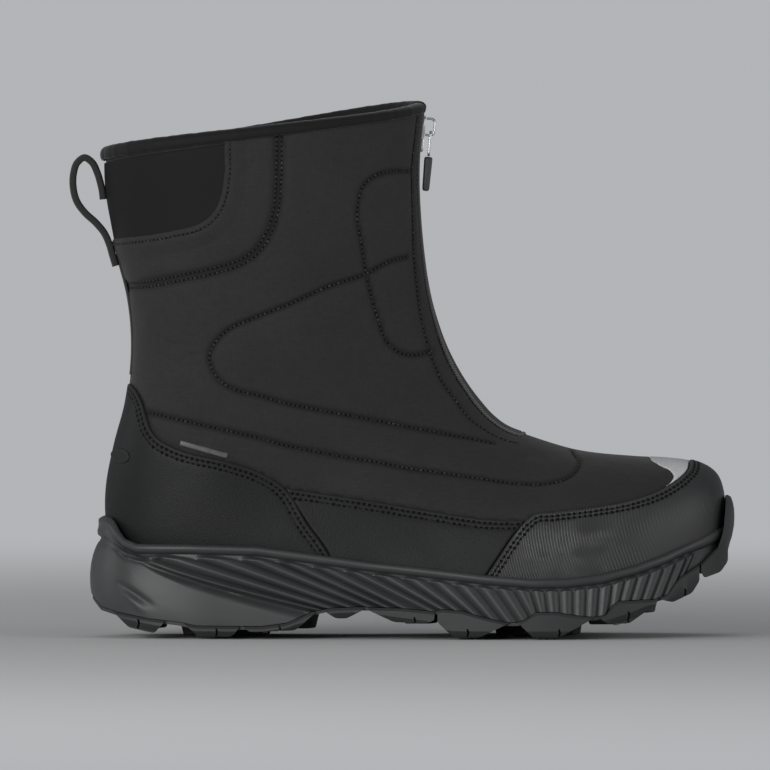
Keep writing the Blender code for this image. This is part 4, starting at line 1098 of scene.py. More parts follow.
def makeSmallPanels():
    seat, film = gaps["seat"], gaps["film"]
    outer, inner = both(pattern["patchEdge"])
    outer, inner = (path[path[:, 0] <= collarRow - 0.5] for path in (outer, inner))
    makePanel(
        "collarPatch", [*outer, *inner[::-1]], "back", seat, gaps["patch"] * 0.6, "smooth_fabric",
        ("collar_patch",), rounding=0.5 * mm, spacing=3 * mm,
    )
    outerBack, innerBack = both(pattern["reflectorBack"])
    outerEdge, innerEdge = both(np.array(pattern["toeCapEdge"][10:]) - (0.6, -0.2))
    makePanel(
        "toeReflector", [*outerBack[::-1], *innerBack, *innerEdge, *outerEdge[::-1]], "toe", seat, film,
        "reflective", ("toe_reflector",), rounding=0.4 * mm, spacing=1.5 * mm,
    )
    badge = {"at": (15.3, 84.6), "half": (4.1, 3.5)}
    oval = np.array(badge["at"]) + np.array(badge["half"]) * [(math.cos(t), math.sin(t)) for t in turnsOf(48)]
    places = [place for place in (fromSide(x * mm, z * mm, -1) for x, z in oval) if place]
    makePanel(
        "heelBadge", places, "back", seat + gaps["overlay"], film, "coated_synthetic", ("heel_badge",),
        rounding=0.5 * mm, spacing=1.2 * mm,
    )
    tag = {"at": (53.3, 88.4), "half": (11.5, 1.3), "turn": -15.5}
    cos, sin = math.cos(math.radians(tag["turn"])), math.sin(math.radians(tag["turn"]))
    corners = np.array([(-1, -1), (1, -1), (1, 1), (-1, 1), (-1, -1)]) * tag["half"]
    corners = denser(corners * mm, 0.6 * mm)[:-1] / mm
    x, z = tag["at"]
    line = [(x + a * cos - b * sin, z + a * sin + b * cos) for a, b in corners]
    makePanel(
        "sideTag", [fromSide(x * mm, z * mm, -1) for x, z in line], "front", seat, film, "bare_tag",
        ("side_tag",), rounding=0.3 * mm, spacing=1.2 * mm,
    )


makeWrap("heelCounter", "counterEdge", (114.1, 4.0), "back", "coated_synthetic", "counter", "heel_counter")
makeBands()
makeWrap("toeCap", "toeCapEdge", (181.6, 296.0), "toe", "textured_rubber", "toeCap", "toe_cap")
print("large panels made")
makeSmallPanels()
print("small panels made")


# Strips that follow a line over the upper


def stripAlong(name, path, profile, finish, replaces=(), over=netPoints, chart="back"):
    # profile: a closed section of distance to the left of the line and height above the surface, in millimetres
    spacing = 1.2 * mm
    line = evenly(path, chart, spacing)
    points, normals = surface(charts[chart][1](line))
    left = leftOf(points, normals)
    rings, weave = [], []
    for across, rise in profile:
        spots = np.array([nearest(point) for point in points + across * mm * left])
        rings.append(onNet(over, spots) + rise * mm * unit(onNet(netNormals, spots)))
        weave.append(np.column_stack([np.full(len(points), across * mm), np.arange(len(points)) * spacing]))
    ringPiece(name, np.stack(rings, axis=1), np.stack(weave, axis=1), finish, replaces)


def makeHem():
    # the fabric's folded edge round the collar patch, with the stitch row on it
    outer, inner = both(pattern["patchEdge"])
    outer, inner = (path[path[:, 0] <= collarRow + 1.5] for path in (outer, inner))
    fold = [
        (-0.5, -0.1), (-0.75, 0.5), (-0.6, 1.0), (0.0, 1.3), (0.9, 1.3), (1.5, 1.05), (2.1, 0.85), (2.7, 1.0),
        (3.5, 1.05), (4.8, 0.85), (6.3, 0.5), (8.0, 0.2), (10.0, -0.05), (12.0, -0.4), (6.0, -0.9), (2.0, -0.6),
    ]
    probe = shiftPath(outer[20:23], 2 * mm)
    outline = np.array(sidePolygons()["patch"]) * mm
    turn = -1 if insidePolygon(onNet(netPoints, probe)[:, [0, 2]], outline).all() else 1
    fold = [(turn * across, rise) for across, rise in fold]
    stripAlong("collarHem", [*outer, *inner[::-1]], fold, "quilted_fabric", over=clothPoints)
    return turn


hemTurn = makeHem()


def slotEdge(reach):
    # the line beside the zip at a given distance from the middle, down one side and up the other
    rows = np.arange(rowAt(shell["zipEnd"]), collarRow + 0.5, 1.5)
    lines = []
    for side in (-1, 1):
        columns = []
        for row in rows:
            around = halfway + side * np.linspace(0, 26, 60)
            y = onNet(netPoints, np.column_stack([np.full(60, row), around]))[:, 1]
            columns.append(np.interp(reach, np.abs(y), around))
        lines.append(np.column_stack([rows, columns]))
    return lines


def makePlacket():
    # the folded edges beside the zip meet in a small bow under it
    roll = {
        "beside": 0.5 * mm,  # how far it lies outside the slot's edge
        "drop": 2.2,  # how far the bow hangs below the slot, in rows of the net
        "ends": 0.35,  # the part of the bow's half turn left out at each end
        "section": [
            (1.5, -0.4), (1.45, 0.25), (0.9, 0.75), (0.1, 0.9), (-0.7, 0.6), (-1.1, -0.1), (-1.1, -1.2), (0.8, -1.6),
        ],
    }
    edges = slotEdge(shell["slot"] / 2 + roll["beside"])
    end, reach = rowAt(shell["zipEnd"]), edges[0][0, 1] - halfway
    bow = [(end - roll["drop"] * math.sin(t), halfway + reach * math.cos(t))
           for t in np.linspace(roll["ends"], math.pi - roll["ends"], 7)]
    path = np.vstack([edges[0][::-1], bow, edges[1]])
    turn = 1 if shiftPath(path[20:23], 1 * mm)[1, 1] > path[21, 1] else -1
    section = [(-turn * across, rise) for across, rise in roll["section"]]
    stripAlong("placketEdge", path, section, "edge_cord", over=clothPoints, chart="front")


makePlacket()


def makeBackstay():
    # a woven tape over the back seam, between the counter and the collar patch
    z, rows = netPoints[:, 0, 2], np.arange(net["rows"])
    back = rows[(rows > net["rows"] // 2) & (z > 121.4 * mm) & (z < 183.0 * mm)]
    path = np.column_stack([back, np.zeros(len(back))])
    half, seat, face = 6.5, 0.3, 1.2  # half the width, and the heights of its back and its face
    right = [(2.2, face + 0.05), (half - 1.3, face - 0.1), (half - 0.4, face), (half, 0.8), (half, seat)]
    left = [(-across, rise) for across, rise in reversed(right)]
    tape = [*left, (0.0, face + 0.1), *right, (0.0, seat - 0.1)]
    stripAlong("backTape", path, tape, "webbing", ("backstay",))


makeBackstay()

loopPath = np.array([
    (11.7, 173.6), (10.2, 178.6), (8.6, 184), (6.2, 189.2), (2.4, 193.8), (-2.8, 198.6), (-6.6, 204),
    (-8.2, 210.2), (-8.1, 216.6), (-6.4, 221.8), (-3, 224.3), (0.4, 222.2), (2.9, 217.4), (4.4, 212.6),
    (5.3, 208.5), (5.7, 204.8),
]) * mm


def makeLoop():
    strap = {"width": 14.0 * mm, "thick": 3.2 * mm, "step": 0.8 * mm, "hollow": 0.1 * mm}
    line = smoothLine(loopPath, strap["step"])
    along = unit(np.gradient(line, axis=0))
    out = np.column_stack([-along[:, 1], along[:, 0]])
    half, thick = strap["width"] / 2, strap["thick"] / 2
    turns = turnsOf(36)
    across, rise = half * powerOf(np.cos(turns), 0.22), thick * powerOf(np.sin(turns), 0.55)
    lift = rise + strap["hollow"] * (1 - (across / half) ** 2)  # a little hollow on the inner face
    rings, weave = [], []
    for i, ((x, z), (dx, dz)) in enumerate(zip(line, out)):
        rings.append(np.column_stack([x + dx * lift, across, z + dz * lift]))
        weave.append(np.column_stack([across, np.full(len(across), i * strap["step"])]))
    ringPiece("pullLoop", rings, weave, "webbing", ("pull_loop",), sharp=60)


makeLoop()


def closedCurve(points, count):
    # a round closed line through a few points
    points = np.asarray(points, float)
    wrapped = np.vstack([points[-2:], points, points[:3]])
    at = np.arange(-2, len(points) + 3)
    return splineAt(np.column_stack([at, wrapped]), np.linspace(0, len(points), count + 1)[:-1])


def makeBinding():
    # the padded roll round the collar, open at the zip
    roll = {
        "section": [  # out from the wall in millimetres, and a share of the height
            (0.9, 0.05), (1.3, -0.2), (2.1, -0.1), (2.5, 0.25), (2.2, 0.65), (0.9, 0.95), (-1.3, 1.05), (-3.3, 0.92),
            (-4.6, 0.55), (-4.6, 0.1), (-4.0, -0.2), (-3.4, -0.12), (-3.1, 0.06), (-1.2, 0.1),
        ],
        "middle": (-1.5 * mm, 0.5),
        "opening": 4.6 * mm,  # how far each end stays from the zip's middle
        "seat": 0.5 * mm,
        "ruck": (0.11 * mm, 2.6 * mm),  # how much the roll's thickness wavers, and the thickness
        "end": (2.2 * mm, 0.55),  # over what length the ends grow thinner, and to what share
    }
    section = closedCurve(np.array(roll["section"]) * [mm, 1], 48)
    start = math.pi - roll["opening"] / lastTable[-1, 6]
    angles = np.linspace(-start, start, 300)
    low, high = lastPoints(collarStation, angles), lastPoints(topStation, angles)
    around = unit(np.gradient(low, axis=0))
    rise = high - low
    length = np.linalg.norm(rise, axis=1)
    up = rise / length[:, None]
    normals = unit(np.cross(around, up))
    walked = lengthAlong(low)
    middle, seat = np.array(roll["middle"]), roll["seat"]
    (ruck, thick), (reach, least) = roll["ruck"], roll["end"]
    rings, weave = [], []
    for i, at in enumerate(walked):
        waver = math.sin(at * 620) * math.sin(at * 171 + 1) + 0.4 * math.sin(at * 1370)
        end = min(i, len(angles) - 1 - i) * 1.2 * mm
        grow = (1 + ruck * waver / thick) * (least + (1 - least) * min(1, end / reach) ** 0.5)
        spot = middle + (section - middle) * grow
        rings.append(low[i] + spot[:, :1] * normals[i] + (seat + spot[:, 1:] * (length[i] - seat)) * up[i])
        weave.append(np.column_stack([np.arange(len(section)) * 0.7 * mm, np.full(len(section), at)]))
    ringPiece("collarBinding", rings, weave, "roll_fabric", ("collar_binding",))


makeBinding()
print("strips and bindings made")


# The zip


def makeZip():
    rows = np.arange(rowAt(shell["zipEnd"] + 0.12), collarRow + 0.01, 1.0)
    half, low, high, bead = 4.4, -2.8, -1.9, 0.25  # the tape's section; the bead carries the teeth
    right = [(2.2, high + bead), (2.6, high), (half, high), (half, low)]
    tape = [*[(-across, rise) for across, rise in reversed(right)], *right]
    stripAlong("zipTape", downFront(rows), tape, "smooth_fabric", ("zip_tape",), chart="front")


makeZip()


def shapesTree(name, inputs):
    # a tree that sets one small shape on each of a row of points; the caller makes the points
    tree = bpy.data.node_groups.new(name, "GeometryNodeTree")
    sockets = tree.interface
    sockets.new_socket(name="Geometry", in_out="INPUT", socket_type="NodeSocketGeometry")
    kinds = {"Shape": "NodeSocketObject", "Finish": "NodeSocketMaterial", **inputs}
    named = {key: sockets.new_socket(name=key, in_out="INPUT", socket_type=kind) for key, kind in kinds.items()}
    sockets.new_socket(name="Geometry", in_out="OUTPUT", socket_type="NodeSocketGeometry")

    def add(kind, **settings):
        node = tree.nodes.new(kind)
        for key, value in settings.items():
            setattr(node, key, value)
        return node

    def join(*links):
        for first, output, second, socket in links:
            tree.links.new(first.outputs[output], second.inputs[socket])

    start, end = add("NodeGroupInput"), add("NodeGroupOutput")
    shape, put = add("GeometryNodeObjectInfo"), add("GeometryNodeInstanceOnPoints")
    solid, paint = add("GeometryNodeRealizeInstances"), add("GeometryNodeSetMaterial")
    join(
        (start, "Shape", shape, "Object"), (shape, "Geometry", put, "Instance"),
        (put, "Instances", solid, "Geometry"), (solid, "Geometry", paint, "Geometry"),
        (start, "Finish", paint, "Material"), (paint, "Geometry", end, "Geometry"),
    )
    return tree, named, add, join, start, put


def rowTree():
    # stitches and teeth: one after another along each line, facing out of the surface
    tree, named, add, join, start, put = shapesTree("rowAlongLine", {
        "Pitch": "NodeSocketFloat", "Wander": "NodeSocketFloat", "Seed": "NodeSocketInt",
    })
    line = add("GeometryNodeMeshToCurve")
    even = add("GeometryNodeResampleCurve", mode="LENGTH")
    tangent = add("GeometryNodeInputTangent")
    outward = add("GeometryNodeInputNamedAttribute", data_type="FLOAT_VECTOR")
    outward.inputs["Name"].default_value = "outward"
    first = add("FunctionNodeAlignRotationToVector", axis="X")
    second = add("FunctionNodeAlignRotationToVector", axis="Z", pivot_axis="X")
    chance = add("FunctionNodeRandomValue", data_type="FLOAT_VECTOR")
    turn = add("FunctionNodeEulerToRotation")
    tilt = add("FunctionNodeRotateRotation", rotation_space="LOCAL")
    join(
        (start, "Geometry", line, "Mesh"), (line, "Curve", even, "Curve"), (start, "Pitch", even, "Length"),
        (even, "Curve", put, "Points"), (tangent, "Tangent", first, "Vector"),
        (first, "Rotation", second, "Rotation"), (outward, "Attribute", second, "Vector"),
    )
    for limit, way in (("Min", -1), ("Max", 1)):
        scale = add("ShaderNodeVectorMath", operation="SCALE")
        scale.inputs[0].default_value = (way, way, way)
        join((start, "Wander", scale, "Scale"), (scale, "Vector", chance, limit))
    join(
        (start, "Seed", chance, "Seed"), (chance, "Value", turn, "Euler"), (second, "Rotation", tilt, "Rotation"),
        (turn, "Rotation", tilt, "Rotate By"), (tilt, "Rotation", put, "Rotation"),
    )
    return tree, named


alongLine = rowTree()


def runTree(made, group, shape, finish, replaces, **values):
    # sets the tree's inputs, turns its result into a plain mesh and clears the small shape away
    tree, named = group
    modifier = made.modifiers.new("shapes", "NODES")
    modifier.node_group = tree
    for key, value in {"Shape": shape, "Finish": finishes[finish], **values}.items():
        modifier[named[key].identifier] = value
    settle(made)
    made.data.shade_smooth()
    bpy.data.objects.remove(shape)
    return declare(made, replaces)


def alongLines(name, lines, shape, finish, pitch, wander=0.0, seed=1, replaces=()):
    # lines: points and outward directions, in the boot's measure
    points, edges, outward = [], [], []
    for line, out in lines:
        edges += [(len(points) + i, len(points) + i + 1) for i in range(len(line) - 1)]
        points += list(line)
        outward += list(out)
    made = newObject(name, points, edges)
    layer = made.data.attributes.new("outward", "FLOAT_VECTOR", "POINT")
    layer.data.foreach_set("vector", np.array(outward).ravel())
    return runTree(made, alongLine, shape, finish, replaces, Pitch=pitch, Wander=wander, Seed=seed)


def makeTeeth():
    teeth = {"pitch": 1.7 * mm, "long": 1.0 * mm, "wide": 2.6 * mm, "tall": 1.1 * mm, "apart": 0.85 * mm,
             "deep": 1.7 * mm}
    rows = np.arange(rowAt(shell["zipEnd"] + 0.3), rowAt(collarStation - 0.1), 0.5)
    points, normals = surface(downFront(rows))
    lines = []
    for side, start in ((-1, 0), (1, 1)):
        line = points + [0, side * teeth["apart"], 0] - normals * teeth["deep"]
        step = np.linalg.norm(line[1] - line[0])
        skip = int(start * teeth["pitch"] / 2 / step)  # the two rows mesh
        lines.append((line[skip:], normals[skip:]))
    a, b, c = teeth["long"] / 2, teeth["wide"] / 2, teeth["tall"]
    corners = [(-1, -1), (1, -1), (1, 1), (-1, 1)]
    rings = [(1, 1, 0), (1, 1, c * 0.7), (0.6, 0.85, c)]  # how long, how wide, how high
    points = [(x * a * long, y * b * wide, z) for long, wide, z in rings for x, y in corners]
    shape = newObject("tooth", points, faces=ringFaces(3, 4), shift=0)
    made = alongLines("zipTeeth", lines, shape, "bright_metal", teeth["pitch"], replaces=("zip_teeth",))
    made.data.set_sharp_from_angle(angle=math.radians(40))


makeTeeth()
print("zip made")


# Stitches


def faceTree(name):
    mesh = bpy.data.objects[name].data
    corners = np.empty(len(mesh.vertices) * 3)
    mesh.vertices.foreach_get("co", corners)
    return BVHTree.FromPolygons(corners.reshape(-1, 3).tolist(), [tuple(face.vertices) for face in mesh.polygons])


def seatedLines(tree, paths):
    # runs of points on a piece's face and the ways out of it; a run ends where the piece does
    lines = []
    for path in paths:
        run = []
        for point, out in zip(*surface(path)):
            spot, facing, _, _ = tree.ray_cast(Vector(point + moved + out * 4 * mm), Vector(-out), 6.5 * mm)
            if spot is not None and facing.dot(Vector(out)) > 0.25:
                run.append((np.array(spot) - moved, out))
            elif run:
                lines.append(run)
                run = []
        lines.append(run)
    return [([a for a, _ in run], [b for _, b in run]) for run in lines if len(run) > 4]


def sew(name, lines, look, finish, seed):
    # each stitch is a thread pulled down at both ends, with a flat disc of painted shade for the needle hole halfway
    # to the next one
    long, wide, tall, hole, pitch = (look[key] for key in ("long", "wide", "tall", "hole", "pitch"))
    rings = [(-0.5, 0.35, -0.25), (-0.36, 0.9, 0.3), (0.36, 0.9, 0.3), (0.5, 0.35, -0.25)]  # along, size, height
    points = [
        (long * along, wide / 2 * size * math.cos(t), tall * (height + 0.7 * size * math.sin(t)))
        for along, size, height in rings for t in turnsOf(6)
    ]
    count = len(points)
    points += [(pitch / 2 + hole * math.cos(t), hole * math.sin(t), 0.09 * mm) for t in turnsOf(8)]
    shape = newObject("stitch", points, faces=[*ringFaces(4, 6), range(count, count + 8)], shift=0)
    # the disc is marked to get the painted shade of the needle hole
    mark(shape, "hole", [0.0] * count + [1.0] * 8)
    alongLines(name, lines, shape, finish, pitch, wander=0.05, seed=seed)


def makeStitches():
    onPanels = {"pitch": 2.6 * mm, "long": 1.4 * mm, "wide": 0.6 * mm, "tall": 0.22 * mm, "hole": 0.80 * mm}
    onCloth = {"pitch": 2.2 * mm, "long": 1.5 * mm, "wide": 1.05 * mm, "tall": 0.50 * mm, "hole": 0.60 * mm}
    cloth = faceTree("quiltedUpper")
    paths = []
    for path, rows in seamPaths.values():
        if rows == 1:
            paths.append(path)
        else:
            paths += [shiftPath(path, 1.3 * mm), shiftPath(path, -1.3 * mm)[2:]]
    for reach in placket["rows"]:
        paths += slotEdge(reach)
    sew("clothStitches", seatedLines(cloth, paths), onCloth, "fabric_thread", 3)
    hem = faceTree("collarHem")
    paths = [shiftPath(path[path[:, 0] < collarRow], hemTurn * 2.1 * mm * turn)
             for path, turn in zip(both(pattern["patchEdge"]), (1, -1))]
    sew("hemStitches", seatedLines(hem, paths), onCloth, "fabric_thread", 4)
    print("cloth sewn")
    panels = [
        ("heelCounter", "counterEdge", "counter", (-1, 1)), ("sideBandOuter", "bandTop", "band", (-1,)),
        ("sideBandInner", "bandTop", "band", (1,)), ("toeCap", "toeCapEdge", "toeCap", (-1, 1)),
    ]
    lines = []
    for piece, edge, inset, sides in panels:
        tree = faceTree(piece)
        for side in sides:
            path = edgePaths[edge, side]
            for number, reach in enumerate(seamInset[inset]):
                tries = [seatedLines(tree, [shiftPath(path, turn * reach)[number * 2:]]) for turn in (1, -1)]
                lines += max(tries, key=lambda found: sum(len(points) for points, _ in found))
    sew("panelStitches", lines, onPanels, "panel_thread", 5)
    print("panels sewn")


makeStitches()


# The sole

soleLength = 299.6 * mm  # inside the toe guard
solePlan = np.array([  # x, the middle line's y, and half the width
    (0, 0, 0), (12, 0, 29), (25, -0.2, 36.6), (45, -0.8, 40.8), (70, -2, 41.6),
    (100, -3.8, 41.6), (130, -4.4, 42.8), (160, -4, 46.8), (190, -2.6, 52.4), (213, -0.9, 55.2),
    (235, 1.2, 54.4), (255, 3.2, 50), (270, 4.5, 44), (284, 5.3, 34.4), (294.5, 5, 22.2),
    (299.6, 4.8, 0),
]) * mm
lip = np.array(pattern["lip"]) * mm
parting = np.array([
    (-10, 30), (0, 20.5), (5, 14.6), (13, 12.2), (28, 9.4), (41, 8), (50, 6.2), (80, 6),
    (92, 7.6), (104, 12.8), (112, 14.6), (125, 15.2), (146, 14.6), (161, 13), (164, 14.2),
    (174, 13.4), (183, 10.8), (194, 8.2), (200, 8.2), (205, 10.4), (208, 12.8), (217, 13),
    (227, 11.4), (235, 10.6), (241, 11.6), (244, 16), (247, 18), (263.5, 18.6), (270, 20.8),
    (273, 25.4), (276, 28.8), (286.5, 35.4), (294.6, 43.4), (310, 62),
]) * mm
tread = np.array([
    (-6, 16), (3, 13.6), (9, 9.6), (16, 6.4), (26, 4), (36, 2.4), (46, 0.9), (80, 0.9),
    (90, 2.8), (102, 5), (112, 9), (122, 9.6), (136, 8.4), (146, 7), (158, 5.6),
    (168, 0.9), (224, 0.9), (232, 3.4), (243, 6.6), (253, 9.6), (262, 13.4), (272, 16.6),
    (281, 21), (288, 24), (296, 28.5), (303, 37),
]) * mm
# along the midsole's side: x at the bead and x at the outsole, for the heel's smooth end, the ribs and the toe
heelFan = [(0, 0), (0.5, 0.5), (1.8, 2.6), (3.8, 9), (6.2, 20), (8.4, 38), (10.6, 60), (12.4, 84)]
ribs = [
    (0, 14, 104), (1, 23, 118), (2, 42, 128), (3, 64, 137), (4, 82, 145), (5, 99, 153),
    (6, 114.5, 162), (7, 128.5, 169.5), (8, 142.5, 176), (9, 155.5, 183), (10, 167.5, 189.5),
    (11, 178.5, 196), (12, 188, 202), (13, 196.8, 206.8), (14, 205.2, 210.2), (15, 212.2, 214.2),
    (16, 219.4, 220), (18, 232.6, 231.6), (22, 257.5, 252), (26, 281, 272),
]
toeFan = [(285, 277.5), (289.6, 283.5), (293.6, 289.5), (297.2, 294.8), (299.2, 298.6), (299.6, 299.6)]
midsole = {
    "heel": (2.6 * mm, 20 * mm),  # how far the side draws in at the heel, and over what length
    "toe": (0.8 * mm, 20 * mm),  # the same at the toe, but outwards
    "lean": (2.0 * mm, 1.0 * mm),  # inset under the bead, and how much less it is at the bottom
    "pod": (2.4 * mm, 106 * mm),  # how far the heel's side bulges, and where the bulge has run out
    "rib": 1.7 * mm,  # how deep the grooves between the ribs go
    "first": (1.5 * mm, 1.1 * mm, 1.3 * mm),  # the first groove: its width, and the depth and width of its line
    "second": (0.9 * mm, 4.9 * mm, 2.3 * mm),  # the thin bead under the first: how far out, how low, how thick
    "neck": (0.5 * mm, 0.9 * mm),  # the groove under that one: depth, half width
    "heelMarks": [  # lines low in the heel: back x and z, front x and z, depth, half width
        (14.2, 25.1, 29.5, 15.0, 1.5, 1.4), (17.4, 20.0, 26.0, 12.0, -0.7, 1.3),
    ],
    "bead": [  # depth below the lip, inset
        (0.0, 2.7), (0.1, 2.1), (0.45, 1.5), (1.0, 1.05), (1.8, 0.9), (2.7, 1.0), (3.4, 1.35), (4.0, 1.95),
        (4.4, 2.6), (4.7, 3.0),
    ],
    "levels": 46,
}


def planPoints(x, side, inset):
    # the sole's outline moved inwards
    turns = np.arccos(1 - 2 * solePlan[:, 0] / soleLength)
    table = np.column_stack([turns, solePlan])
    turn = np.arccos(np.clip(1 - 2 * np.asarray(x) / soleLength, -1, 1))

    def outline(at):
        row = splineAt(table, at)
        return np.stack([soleLength / 2 * (1 - np.cos(at)), row[..., 1] + side * row[..., 2]], axis=-1)

    tangent = unit(outline(np.minimum(turn + 1e-3, math.pi)) - outline(np.maximum(turn - 1e-3, 0)))
    inward = np.stack([side * tangent[..., 1], -side * tangent[..., 0]], axis=-1)
    return outline(turn) + np.asarray(inset)[..., None] * inward


def aroundSole(values):
    return np.concatenate([values, values[-2:0:-1]])


def stripFaces(count, steps):
    # like ringFaces, but each end is filled with strips from side to side
    faces = ringFaces(count, steps, False)
    for start in (0, (count - 1) * steps):
        faces += [
            (start + j, start + j + 1, start + steps - j - 1, start + steps - j) for j in range(1, steps // 2 - 1)
        ]
        faces.append((start, start + 1, start + steps - 1))
        faces.append((start + steps // 2 - 1, start + steps // 2, start + steps // 2 + 1))
    return faces


def ribColumns():
    # where each line down the side starts at the bead and ends at the outsole, its number, and how wide the lines
    # stand apart at both; whole numbers are the grooves
    known = np.vstack([
        [(i - 8, *row) for i, row in enumerate(heelFan)], ribs, [(27 + i, *row) for i, row in enumerate(toeFan)],
    ])
    known[:, 1:] *= mm
    numbers = np.concatenate([np.arange(-8, 0, 1 / 9), np.arange(0, 26, 1 / 12), np.arange(26, 32.01, 1 / 6)])
    columns = np.clip(np.maximum.accumulate(splineAt(known, numbers), axis=0), 0, soleLength)
    columns[[0, -1]] = [[0, 0], [soleLength, soleLength]]
    pace = np.gradient(columns, numbers, axis=0)
    side = np.concatenate([-np.ones(len(numbers)), np.ones(len(numbers) - 2)])
    return side, *(aroundSole(values) for values in (*columns.T, numbers, *pace.T))


def ribRidge(number, share, wide):
    # 1 on a rib's back and 0 in a groove, at one share of the height; the first groove is sharp, the others are waves
    near = number - np.round(number)
    away = np.abs(near) * wide
    wave, sharp = np.abs(np.sin(math.pi * near)) ** 0.9, 1 - bump(away, midsole["first"][0])
    ridge = wave + (sharp - wave) * (1 - easeIn(number, 0.15, 0.5))
    ridge = ridge * easeIn(away / np.maximum(wide / 2, 1e-6) + 9.0 * share - 0.6, 0, 0.6)
    # behind the ribs the side is smooth, and so is the first rib's top
    smooth = 0.55 * easeIn(-number * 8 * mm * share + 1.2 * mm * (number < -0.5), 0.3 * mm, 2.4 * mm)
    ribbed = easeIn(number, -0.2, 0.1) * (1 - easeIn(number, 26, 27.5))
    ridge = ridge * ribbed + smooth * (1 - ribbed)
    plain = (1 - easeIn(number, 0.3, 1.0)) * (1 - easeIn(share, 0.12, 0.36))
    return ridge + (0.5 - ridge) * plain


def heelBead(inset, x, drop):
    # a second, thin bead under the first one round the heel, and the groove under it
    (out, low, thick), (deep, half) = midsole["second"], midsole["neck"]
    behind, thin = 1 - easeIn(x, 4 * mm, 20 * mm), thick * (1 - easeIn(x, 26 * mm, 42 * mm))
    centre, there = low + 2.3 * mm * behind + thin / 2, easeIn(thin, 0.3 * mm, 1.8 * mm)
    second = bump(drop - centre, np.maximum(thin * 0.55, 0.5 * mm), 4) * there
    neck = bump(drop - centre - thin / 2 - half, half) * there
    return inset - out * second + deep * neck + 0.9 * mm * behind * easeIn(drop, 7 * mm, 11 * mm)


def heelMarks(inset, x, z):
    for row in midsole["heelMarks"]:
        ax, az, bx, bz, low, half = np.array(row) * mm
        across, up = bx - ax, bz - az
        along = np.clip(((x - ax) * across + (z - az) * up) / (across**2 + up**2), 0, 1)
        gone = np.hypot(x - ax - along * across, z - az - along * up)
        inset = inset + low * bump(gone, half) * np.sin(np.pi * (0.15 + 0.8 * along))
    return inset


def midsoleRings():
    side, topX, lowX, number, topPace, lowPace = ribColumns()
    (heelIn, heelReach), (toeOut, toeReach) = midsole["heel"], midsole["toe"]
    heel = heelIn * np.clip(1 - topX / heelReach, 0, 1)
    toe = toeOut * np.clip(1 - (soleLength - topX) / toeReach, 0, 1)
    back, bold = 1 - easeIn(topX, 4 * mm, 16 * mm), easeIn(topX, 276 * mm, 292 * mm)
    top = heightAt(lip, topX)
    rings = []
    for depth, inset in midsole["bead"]:
        shallow = (1.3 * max(inset - 1.0, 0) if depth > 1 else -1.3 * (1 - depth)) * mm * back
        points = planPoints(topX, side, inset * mm + heel - toe - shallow)
        rings.append(np.column_stack([points, top - depth * mm * (1 + 0.5 * back + 0.3 * bold)]))
    start, end = rings[-1][:, 2], heightAt(parting, lowX) - 4 * mm
    tall = start - end
    slant = np.maximum(tall / np.hypot(tall, lowX - topX), 0.2)
    (under, less), (bulge, podEnd) = midsole["lean"], midsole["pod"]
    _, line, half = midsole["first"]
    pod = np.clip(1 - lowX / podEnd, 0, 1)
    sag = (1 - easeIn(number, 0.0, 1.5)) * easeIn(number, -5, -0.5)  # the heel's long groove hangs in a curve
    deep = midsole["rib"] * (1 + 0.35 * (1 - easeIn(number, 3.0, 7.0)))
    rest = 3.0 * mm + heel - toe - 2.6 * mm * back
    for share in np.linspace(0.06, 1, midsole["levels"]) ** 1.3:
        x = topX + (lowX - topX) * np.minimum(share * (1 + 0.1 * sag), 1) ** (1 + 0.4 * sag)
        z = start + (end - start) * share
        wide = (topPace + (lowPace - topPace) * share) * slant
        edge = bump(np.where(np.abs(number) < 1, number * wide, 9), half) * easeIn(share, 0.15, 0.4)
        swell = bulge * pod * math.sin(math.pi * max(share - 0.15, 0) / 0.85) ** 0.6
        inset = under - less * share - swell + heel * (1 - share) ** 3
        inset = inset + deep * (0.35 - ribRidge(number, share, wide)) + line * edge
        inset = heelBead(inset, x, heightAt(lip, x) - z)
        inset = rest + (inset - rest) * easeIn(share, 0.0, 0.07)
        rings.append(np.column_stack([planPoints(x, side, heelMarks(inset, x, z)), z]))
    return rings


def makeMidsole():
    made = ringSolid("ribbedMidsole", midsoleRings(), stripFaces)
    cut(made, underPrism("underMidsole", parting))
    pocket = netForm("pocket", 2 * gaps["seat"] + gaps["overlay"], 3)
    cut(pocket, underPrism("underBed", footbed))
    cut(made, pocket)
    dress(made, "midsole_rubber", ("midsole",), sharp=48)


makeMidsole()
print("midsole made")


insoleThick = 4.5 * mm


def makeInsole():
    made = netForm("feltInsole", -gaps["wall"] - gaps["seat"], 2)
    cut(made, underPrism("underInsole", footbed, -gaps["seat"]))
    cut(made, underPrism("insoleTop", footbed, -gaps["seat"] - insoleThick), "INTERSECT")
    dress(made, "dark_felt", ("insole",), sharp=50)


makeInsole()

# the outsole's edge blocks from the side: back x and z, low face's back and front x and z, front x and z, reach
edgeBlocks = [
    (11.5, 11.6, 18, 5, 30, 2.4, 35.5, 8.5, 24),
    (43.5, 7.5, 51, 0.9, 66, 0.9, 70, 5.4, 22),
    (71.6, 5.4, 75, 3.2, 96, 4, 105.5, 12.4, 20),
    (108.6, 13.6, 115, 9.6, 120, 9.6, 128, 13.8, 16),
    (130, 13.6, 142, 8, 156, 7.2, 161, 9, 19),
    (162.4, 8, 170, 0.9, 182, 0.9, 196.6, 8.2, 27),
    (201, 6.8, 207, 0.9, 219, 0.9, 235, 9.8, 29),
    (237.5, 10.4, 242, 7.1, 252, 7.3, 265, 16.4, 26),
    (266.5, 18.4, 272.5, 16.9, 281.5, 21, 285, 26.8, 40),
    (285.8, 30.6, 287.2, 28, 295, 30.6, 298.6, 35.4, 40),
]
